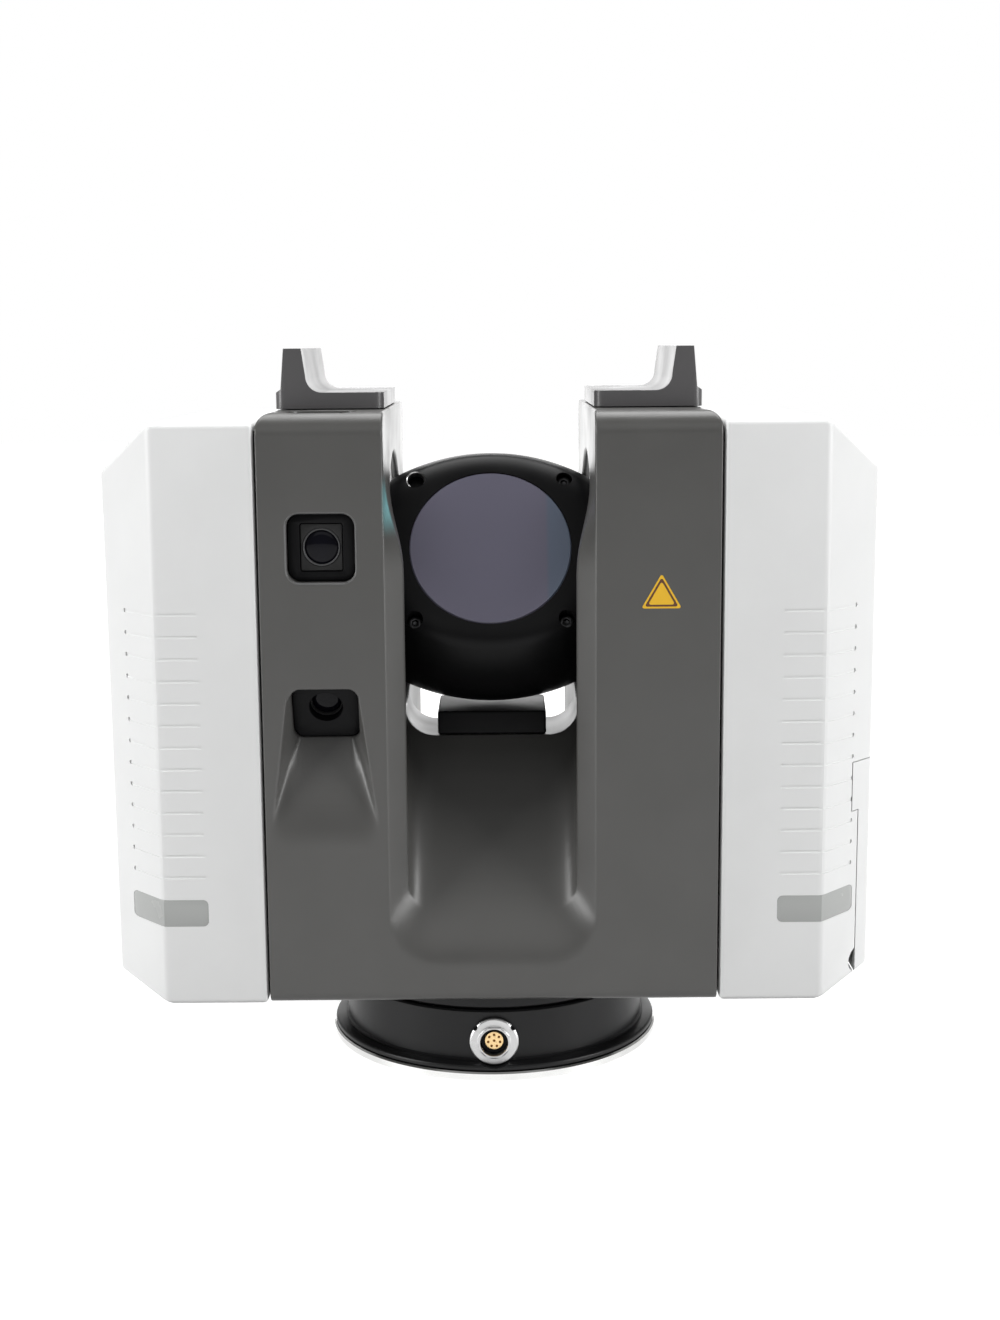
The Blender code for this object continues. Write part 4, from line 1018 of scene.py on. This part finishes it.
def make_door(materials):
    door = cover_shell("battery_door_shell", 1)
    zone = prism("door_zone", door_outline(0.0), "Y", -DOOR_CUT_HALF, DOOR_CUT_HALF)
    combine(door, [zone], "INTERSECT")
    knuckles = []
    notches = []
    for front in (-1, 1):
        start, end = sorted(front * along for along in KNUCKLE_SPAN)
        knuckles.append(along_hinge("knuckle", start, end, KNUCKLE_R, SMALL_ROUND))
        start, end = sorted(front * along for along in NOTCH_SPAN)
        notches.append(box("notch", (NOTCH_X, start, DOOR_FOOT), (DOOR_FAR_X, end, HINGE_Z + NOTCH_RISE)))
    combine(door, knuckles, "UNION")
    bore_half = KNUCKLE_SPAN[1] + PAST
    bore = along_hinge("bore", -bore_half, bore_half, HINGE_BORE_R, 24)
    low, high = frame_box("door_latch")
    slot = box("slot", (LATCH_SLOT_X[0], low.y - PLAY, low.z - LATCH_TRAVEL - PLAY),
               (LATCH_SLOT_X[1], high.y + PLAY, high.z + PLAY))
    combine(door, notches + [bore, slot])
    show(shade(door), materials["white"], "battery_door", "battery_door")
    make_latch(low, high, materials)


def make_latch(low, high, materials):
    """The slider that holds the battery door, with grooves for a fingertip."""
    latch = box("door_latch_slider", low, high)
    first, width, pitch, deep = LATCH_RIB
    starts = [low.z + first + pitch * step for step in range(3)]
    grooves = [box("groove", (high.x - deep, low.y - PAST, start),
                   (high.x + PAST, high.y + PAST, start + width)) for start in starts]
    combine(latch, grooves)
    show(shade(round_edges(latch, 0.25, 2)), materials["grey"], "door_latch", "door_latch")


# ---------------------------------------------------------------- controls on the left

def make_controls(materials):
    make_screen(materials)
    low, high = frame_box("power_button")
    centre = (0.0, 0.0, (low.z + high.z) / 2.0)
    profile = [(0.01, low.x + 0.5), (2.6, low.x + 0.45), (5.6, low.x), (6.6, low.x + 0.1), (7.0, low.x + 0.6),
               (7.0, high.x), (0.01, high.x)]
    button = turned("power_button_cap", profile, "X", centre, ROUND)
    show(shade(button), materials["grey"], "power_button", "power_button")


def make_screen(materials):
    low, high = frame_box("screen_bezel")
    bezel = prism("screen_frame", rounded_rectangle((low.y, low.z), (high.y, high.z), SCREEN_CORNER), "X",
                  low.x, high.x)
    glass_low, glass_high = frame_box("touch_screen")
    recess = rounded_rectangle((glass_low.y - PLAY, glass_low.z - PLAY),
                               (glass_high.y + PLAY, glass_high.z + PLAY), RECESS_CORNER)
    combine(bezel, [prism("recess", recess, "X", low.x - PAST, glass_high.x + PLAY)])
    show(shade(round_edges(bezel, 0.35, 3)), materials["black"], "body", "screen_bezel")
    outline = rounded_rectangle((glass_low.y, glass_low.z), (glass_high.y, glass_high.z), GLASS_CORNER)
    pane = prism("touch_screen_pane", outline, "X", glass_low.x, glass_high.x)
    show(shade(round_edges(pane, 0.15, 2)), materials["screen"], "body", "touch_screen")


# ---------------------------------------------------------------- cameras

def lens_at(name, centre, axis, radius, materials, cad_node, ring="lens_ring"):
    """A lens barrel with a bright edge and a domed front glass, looking along an axis."""
    turn = Vector(axis).to_track_quat("Z", "Y").to_matrix().to_4x4()
    placing = Matrix.Translation(Vector(centre) * MM) @ turn
    inside = radius - 0.5
    profile = [(inside, -LENS_DEEP), (radius, -LENS_DEEP), (radius, -0.15), (radius - 0.15, 0.0),
               (radius - 0.3, 0.0), (inside, -0.3)]
    barrel = turned(f"{name}_barrel", profile, "Z", (0, 0, 0), ROUND)
    barrel.data.transform(placing)
    show(shade(barrel), materials[ring], "body")
    glass_r = inside - 0.05
    dome = [(0.01, -LENS_DEEP), (glass_r, -LENS_DEEP)]
    steps = 8
    for step in range(steps + 1):
        fraction = 1.0 - step / steps
        dome.append((max(0.01, glass_r * fraction), -1.1 + 0.8 * math.sqrt(1.0 - fraction * fraction)))
    glass = turned(f"{name}_glass", dome, "Z", (0, 0, 0), ROUND)
    glass.data.transform(placing)
    show(shade(glass), materials["lens"], "body", cad_node)


def camera_outline(half_width, half_height, corner):
    """Rounded outline around the axis of the middle camera."""
    return rounded_rectangle((CAMERA_X - half_width, MIDDLE_CAMERA_Z - half_height),
                             (CAMERA_X + half_width, MIDDLE_CAMERA_Z + half_height), corner)


def make_middle_camera(materials):
    half = CAMERA_SIZE / 2.0 - PLAY
    front = BODY_LOW.y + CAMERA_SINK
    outline = camera_outline(half, half, CAMERA_CORNER - PLAY)
    module = prism("middle_camera_housing", outline, "Y", front, CAMERA_BACK)
    combine(module, [prism("hood", camera_outline(*HOOD_HALF, 0.7), "Y", front - PAST, front + HOOD_DEEP)])
    show(shade(round_edges(module, 0.3, 2)), materials["black"], "body", "middle_camera")
    near, far = front + PLATE_SPAN[0], front + PLATE_SPAN[1]
    plate = prism("middle_camera_plate", camera_outline(*PLATE_HALF, 0.5), "Y", near, far)
    bore_end = (CAMERA_X, front + PLATE_BORE_DEEP, MIDDLE_CAMERA_Z)
    combine(plate, [cylinder("bore", (CAMERA_X, front, MIDDLE_CAMERA_Z), bore_end, CAMERA_BORE_R, ROUND)])
    show(shade(round_edges(plate, 0.15, 2)), materials["plate"], "body")
    lens_front = (CAMERA_X, front + MIDDLE_LENS_SINK, MIDDLE_CAMERA_Z)
    lens_at("middle_lens", lens_front, (0, -1, 0), MIDDLE_LENS_R, materials, "middle_camera_lens")
    make_camera_rim(materials)


def make_camera_rim(materials):
    """Chamfer around the opening of the middle camera; its lighter grey than the body paint is a painted
    highlight.
    """
    rings = []
    for grow, deep in CAMERA_RIM:
        half = CAMERA_SIZE / 2.0 + grow
        outline = camera_outline(half, half, CAMERA_CORNER + grow)
        rings.append([(x, BODY_LOW.y + deep, z) for x, z in outline])
    rim = closed_loop("middle_camera_rim", rings)
    show(shade(rim, math.radians(25.0)), materials["rim"], "body")


def make_lower_camera(materials):
    """The leaning camera in the pocket above the scoop."""
    low, high = LOWER_CAMERA[0] + PLAY, LOWER_CAMERA[1] - PLAY
    half = CAMERA_SIZE / 2.0 - PLAY
    outline = rounded_rectangle((CAMERA_X - half, low), (CAMERA_X + half, high), 2.7)
    top, bottom = Vector((0, LOWER_CAMERA_LIP, high)), Vector((0, -LOWER_CAMERA_DEEP, low))
    slope = (bottom.y - top.y) / (high - low)
    leaning = [(x, top.y + slope * (high - z), z) for x, z in outline]
    module = loft("lower_camera_housing", [leaning, [(x, CAMERA_BACK, z) for x, z in outline]])
    outward = Vector((0.0, -(high - low), -(bottom.y - top.y))).normalized()
    centre = (top + bottom) / 2.0 + Vector((CAMERA_X, 0.0, LOWER_LENS_RISE))
    seat_low, seat_high = centre - outward * 6.0, centre + outward * 4.0
    combine(module, [cylinder("seat", seat_low, seat_high, LOWER_LENS_R + 0.2, ROUND)])
    show(shade(round_edges(module, 0.25, 2)), materials["black"], "body", "lower_camera")
    lens_front = centre - outward * LOWER_LENS_SINK
    lens_at("lower_lens", lens_front, outward, LOWER_LENS_R, materials, "lower_camera_lens", "plate")


def make_upper_camera(materials):
    low, high = frame_box("upper_camera")
    outline = rounded_rectangle((low.x, low.y), (high.x, high.y), CAMERA_CORNER - PLAY)
    module = prism("upper_camera_housing", outline, "Z", low.z, high.z)
    middle = (low.y + high.y) / 2.0
    seat_low, seat_high = (CAMERA_X, middle, high.z - 4.0), (CAMERA_X, middle, high.z + PAST)
    combine(module, [cylinder("seat", seat_low, seat_high, CAMERA_BORE_R, ROUND)])
    show(shade(round_edges(module, 0.25, 2)), materials["black"], "body", "upper_camera")
    lens_front = (CAMERA_X, middle, high.z - PLAY)
    lens_at("upper_lens", lens_front, (0, 0, 1), UPPER_LENS_R, materials, "upper_camera_lens")


# ---------------------------------------------------------------- handles and trim

def handle_section():
    """Front view of the right handle: a flat rail, and an upright fin near its outer edge."""
    low, high = HANDLE_LOW, HANDLE_HIGH
    inner, outer = -high.x, -low.x
    outer_side = HANDLE_FIN[1] + 1.1
    inner_side = HANDLE_FIN[0] - 1.2
    points = [(inner, low.z), (outer, low.z), (outer, HANDLE_RAIL_TOP), (outer_side, HANDLE_RAIL_TOP + 1.0),
              (HANDLE_FIN[1], high.z), (HANDLE_FIN[0], high.z)]
    steps = 10
    for step in range(steps + 1):
        angle = math.radians(90.0 * step / steps)
        points.append((inner_side - HANDLE_FILLET * (1.0 - math.cos(angle)),
                       HANDLE_RAIL_TOP + HANDLE_FILLET * (1.0 - math.sin(angle))))
    points.append((inner, HANDLE_RAIL_TOP))
    return points


def make_handle(name, side, materials, cad_node):
    low, high = HANDLE_LOW, HANDLE_HIGH
    handle = prism(name, [(side * x, z) for x, z in handle_section()], "Y", low.y, high.y)
    low_x, high_x = sorted((-side * low.x, -side * high.x))
    plan = prism("plan", rounded_rectangle((low_x, low.y), (high_x, high.y), HANDLE_CORNER), "Z",
                 low.z - 1.0, high.z + 1.0)
    combine(handle, [plan], "INTERSECT")
    round_edges(handle, 0.8, 4, 40.0)
    return show(even_normals(shade(handle, math.radians(60.0))), materials["handle"], "body", cad_node)


def triangle(inset):
    """Outline of the hazard triangle with rounded corners."""
    low, high = frame_box("warning_label")
    middle = (low.x + high.x) / 2.0
    centre = Vector((middle, low.z + (high.z - low.z) / 3.0))
    reach = (high.z - low.z) * 2.0 / 3.0 - inset * 2.0
    corner = 0.5
    outline = []
    for step in range(3):
        aim = math.radians(90.0 + 120.0 * step)
        tip = centre + Vector((math.cos(aim), math.sin(aim))) * (reach - 2.0 * corner)
        for part in range(7):
            turn = aim + math.radians(-60.0 + 20.0 * part)
            outline.append((tip.x + corner * math.cos(turn), tip.y + corner * math.sin(turn)))
    return outline


def make_label(materials):
    """A plain hazard triangle without any symbol."""
    low, high = frame_box("warning_label")
    plate = prism("warning_triangle", triangle(0.0), "Y", low.y, high.y)
    show(shade(plate), materials["label"], "body", "warning_label")
    border = prism("warning_border", triangle(0.55), "Y", low.y - 0.03, low.y + 0.1)
    combine(border, [prism("inside", triangle(1.15), "Y", low.y - 1.0, low.y + 1.0)])
    show(shade(border), materials["label_border"], "body")


def make_reference(materials):
    low, high = frame_box("nadir_reference")
    block = box("nadir_reference_block", low, high)
    show(shade(round_edges(block, 0.8, 4)), materials["black"], "body", "nadir_reference")


# ---------------------------------------------------------------- base

def make_base(materials):
    low, high = frame_box("base_ring")
    outer, top, edge = high.x, high.z, FOOT_EDGE
    profile = [(FOOT_BORE_R, 0.0), (outer - edge, 0.0), (outer, edge),
               (outer, top - edge), (outer - edge, top), (FOOT_BORE_R, top)]
    foot = turned("base_foot_ring", profile, "Z", (0, 0, 0), TURNED_ROUND)
    show(shade(foot), materials["polished"], "base", "base_ring")
    make_drum(materials)
    low, high = frame_box("neck_collar")
    outer, edge = high.x, COLLAR_EDGE
    profile = [(COLLAR_BORE_R, low.z), (outer - edge, low.z), (outer, low.z + edge), (outer, high.z),
               (COLLAR_BORE_R, high.z)]
    collar = turned("neck_ring", profile, "Z", (0, 0, 0), TURNED_ROUND)
    show(shade(collar), materials["anodised"], "body", "neck_collar")
    make_catch(materials)
    make_socket(materials)


def drum_profile(low, high):
    """Section of the drum: a rounded flange, a waist, the wall, its floor and the hub."""
    flange, bottom = high.x, low.z
    shoulder = bottom + 1.0
    profile = [(HUB_R[0], bottom), (flange - 0.3, bottom), (flange, bottom + 0.3), (flange, shoulder)]
    steps = 6
    for step in range(steps + 1):
        across, up = on_circle(FLANGE_ROUND, 90.0 * step / steps)
        profile.append((flange - FLANGE_ROUND + across, shoulder + up))
    profile += DRUM_WAIST
    profile += [(DRUM_R, high.z - DRUM_EDGE), (DRUM_R - DRUM_EDGE, high.z), (DRUM_INNER_R, high.z),
                (DRUM_INNER_R, DRUM_FLOOR), (HUB_R[2], DRUM_FLOOR), (HUB_R[2], HUB_Z[1]),
                (HUB_R[1], HUB_Z[1]), (HUB_R[1], HUB_Z[0]), (HUB_R[0], HUB_Z[0])]
    return profile


def make_drum(materials):
    low, high = frame_box("base_drum")
    drum = turned("base_drum_shell", drum_profile(low, high), "Z", (0, 0, 0), TURNED_ROUND)
    socket_low, socket_high = frame_box("socket_shell")
    catch_low, catch_high = frame_box("base_catch")
    middle = (socket_low.z + socket_high.z) / 2.0
    outside, inside, seat = SOCKET_CUT_Y
    cutters = [cylinder("hole", (0, outside, middle), (0, inside, middle), SOCKET_HOLE_R, ROUND),
               cylinder("seat", (0, outside, middle), (0, seat, middle), SOCKET_SEAT_R, LARGE_ROUND),
               box("slot", (CATCH_SLOT_X[0], catch_low.y - PLAY, catch_low.z - PLAY),
                   (CATCH_SLOT_X[1], catch_high.y + PLAY, catch_high.z + PLAY))]
    combine(drum, cutters)
    show(shade(drum), materials["anodised"], "base", "base_drum")


def make_catch(materials):
    low, high = frame_box("base_catch")
    catch = box("quick_release_catch", low, high)
    first, width, pitch, deep = CATCH_GROOVE
    starts = [low.y + first + pitch * step for step in range(3)]
    grooves = [box("groove", (low.x - PAST, start, low.z - PAST),
                   (low.x + deep, start + width, high.z + PAST)) for start in starts]
    combine(catch, grooves)
    show(shade(round_edges(catch, 0.3, 2)), materials["black"], "base_catch", "base_catch")


def make_socket(materials):
    """Round power socket with a notched flange, an octagonal nut and a pin insert."""
    low, high = frame_box("socket_shell")
    middle = (low.z + high.z) / 2.0
    make_flange(low, high, middle, materials)
    make_nut(low.y, middle, materials)
    make_insert(middle, materials)


def make_flange(low, high, middle, materials):
    front, back, reach = low.y, high.y, high.x
    profile = [(SOCKET_BORE_R, front + 0.4), (4.9, front + 0.1), (5.3, front + 0.5),
               (SOCKET_THREAD_R, front + 0.6), (reach - 0.5, front + 0.5), (reach, front + 0.9),
               (reach, front + 1.7), (SOCKET_THREAD_R, front + 1.7), (SOCKET_THREAD_R, back),
               (SOCKET_BORE_R, back)]
    flange = turned("socket_flange", profile, "Y", (0.0, 0.0, middle), LARGE_ROUND)
    notches = []
    for angle in NOTCH_ANGLES:
        x, up = on_circle(reach, angle)
        start, end = (x, front - PAST, middle + up), (x, front + 3.0, middle + up)
        notches.append(cylinder("notch", start, end, NOTCH_R, 24))
    combine(flange, notches)
    show(shade(round_edges(flange, 0.12, 2)), materials["chrome"], "base", "socket_shell")


def make_nut(front, middle, materials):
    corners = [on_circle(NUT_R, 22.5 + 45.0 * step) for step in range(8)]
    nut = prism("socket_nut", [(x, middle + up) for x, up in corners], "Y", front - 0.2, front + 0.45)
    bore = cylinder("bore", (0, front - PAST, middle), (0, front + PAST, middle), SOCKET_BORE_R - 0.05, ROUND)
    combine(nut, [bore])
    show(shade(round_edges(nut, 0.15, 2)), materials["chrome"], "base")


def make_insert(middle, materials):
    """The insert with one hole in its middle and a circle of holes around it."""
    low, high = frame_box("socket_insert")
    insert = cylinder("pin_insert", (0, low.y, middle), (0, high.y, middle), INSERT_R, ROUND)
    pins = [(0.0, 0.0)] + [on_circle(PIN_CIRCLE_R, PIN_STEP * step + 90.0) for step in range(PIN_COUNT)]
    holes = [cylinder("pin_hole", (x, low.y - 1.0, middle + up), (x, low.y + 2.0, middle + up), PIN_R, 16)
             for x, up in pins]
    combine(insert, holes)
    show(shade(round_edges(insert, 0.15, 2)), materials["brass"], "base", "socket_insert")


# ---------------------------------------------------------------- stage

def make_stage():
    """A plain white floor that glows a little, as paper under strong studio light does."""
    bpy.ops.mesh.primitive_plane_add(size=8.0)
    floor = bpy.context.object
    floor.name = "floor"
    material, _, shader = surface("pale_floor", "floor", 0.6)
    shader.inputs["Base Color"].default_value = (FLOOR_COLOUR, FLOOR_COLOUR, FLOOR_COLOUR, 1.0)
    shader.inputs["Emission Color"].default_value = (1.0, 1.0, 1.0, 1.0)
    shader.inputs["Emission Strength"].default_value = FLOOR_GLOW
    floor.data.materials.append(material)
    floor.visible_diffuse = False


def make_world():
    """Soft surroundings, dimmer in front of the object than at its sides and behind it."""
    world = bpy.data.worlds.new("studio")
    bpy.context.scene.world = world
    world.use_nodes = True
    tree = world.node_tree
    background = tree.nodes["Background"]
    background.inputs["Color"].default_value = (1.0, 1.0, 1.0, 1.0)
    direction = node(tree, "ShaderNodeTexCoord")
    split = node(tree, "ShaderNodeSeparateXYZ")
    sideways = node(tree, "ShaderNodeMath", operation="ABSOLUTE")
    gather = node(tree, "ShaderNodeCombineXYZ")
    weigh = node(tree, "ShaderNodeVectorMath", operation="DOT_PRODUCT")
    weigh.inputs[1].default_value = SKY_WEIGHTS
    spread = node(tree, "ShaderNodeMapRange")
    spread.inputs["From Min"].default_value = SKY_SPAN[0]
    spread.inputs["From Max"].default_value = SKY_SPAN[1]
    spread.inputs["To Min"].default_value = SKY_LEVELS[0]
    spread.inputs["To Max"].default_value = SKY_LEVELS[1]
    seen = node(tree, "ShaderNodeLightPath")
    choose = node(tree, "ShaderNodeMix")
    choose.inputs["B"].default_value = 1.0
    links = [(direction.outputs["Generated"], split.inputs["Vector"]),
             (split.outputs["X"], sideways.inputs[0]), (sideways.outputs[0], gather.inputs["X"]),
             (split.outputs["Y"], gather.inputs["Y"]), (split.outputs["Z"], gather.inputs["Z"]),
             (gather.outputs["Vector"], weigh.inputs[0]), (weigh.outputs["Value"], spread.inputs["Value"]),
             (seen.outputs["Is Camera Ray"], choose.inputs["Factor"]),
             (spread.outputs["Result"], choose.inputs["A"]),
             (choose.outputs["Result"], background.inputs["Strength"])]
    for start, end in links:
        tree.links.new(start, end)


def area_light(name, position, target, size, radiance):
    """A rectangular softbox of an even radiance, which the camera doesn't see."""
    light = bpy.data.lights.new(name, "AREA")
    light.shape = "RECTANGLE"
    light.size, light.size_y = size
    light.energy = radiance * math.pi * size[0] * size[1]
    made = bpy.data.objects.new(name, light)
    made.location = position
    made.rotation_euler = (Vector(target) - Vector(position)).to_track_quat("-Z", "Y").to_euler()
    made.visible_camera = False
    bpy.context.scene.collection.objects.link(made)


def make_lights():
    """Three softboxes above and beside the object, with faint panels behind and in front."""
    for name, position, size, radiance in LIGHTS:
        area_light(name, position, LIGHT_TARGET, size, radiance)


def make_camera():
    camera = bpy.data.cameras.new("camera")
    camera.lens = LENS
    camera.sensor_width = SENSOR
    camera.clip_start = 0.01
    made = bpy.data.objects.new("camera", camera)
    right = Vector((1.0, 0.0, 0.0))
    up = Vector((0.0, math.sin(PITCH), math.cos(PITCH)))
    back = Vector((0.0, -math.cos(PITCH), math.sin(PITCH)))
    rolled_right = right * math.cos(ROLL) - up * math.sin(ROLL)
    rolled_up = up * math.cos(ROLL) + right * math.sin(ROLL)
    turn = Matrix((rolled_right, rolled_up, back)).transposed()
    made.matrix_world = Matrix.Translation(EYE) @ turn.to_4x4()
    bpy.context.scene.collection.objects.link(made)
    bpy.context.scene.camera = made


def build():
    bpy.context.scene.view_settings.view_transform = "Standard"
    materials = make_materials()
    make_camera()
    make_stage()
    make_world()
    make_lights()
    paint_carried_over(materials)
    make_body(materials)
    make_rotor(materials)
    make_left_cover(materials)
    make_right_cover(materials)
    make_door(materials)
    make_controls(materials)
    make_middle_camera(materials)
    make_lower_camera(materials)
    make_upper_camera(materials)
    make_handle("left_carry_handle", -1, materials, "left_handle")
    make_handle("right_carry_handle", 1, materials, "right_handle")
    make_label(materials)
    make_reference(materials)
    make_base(materials)


build()
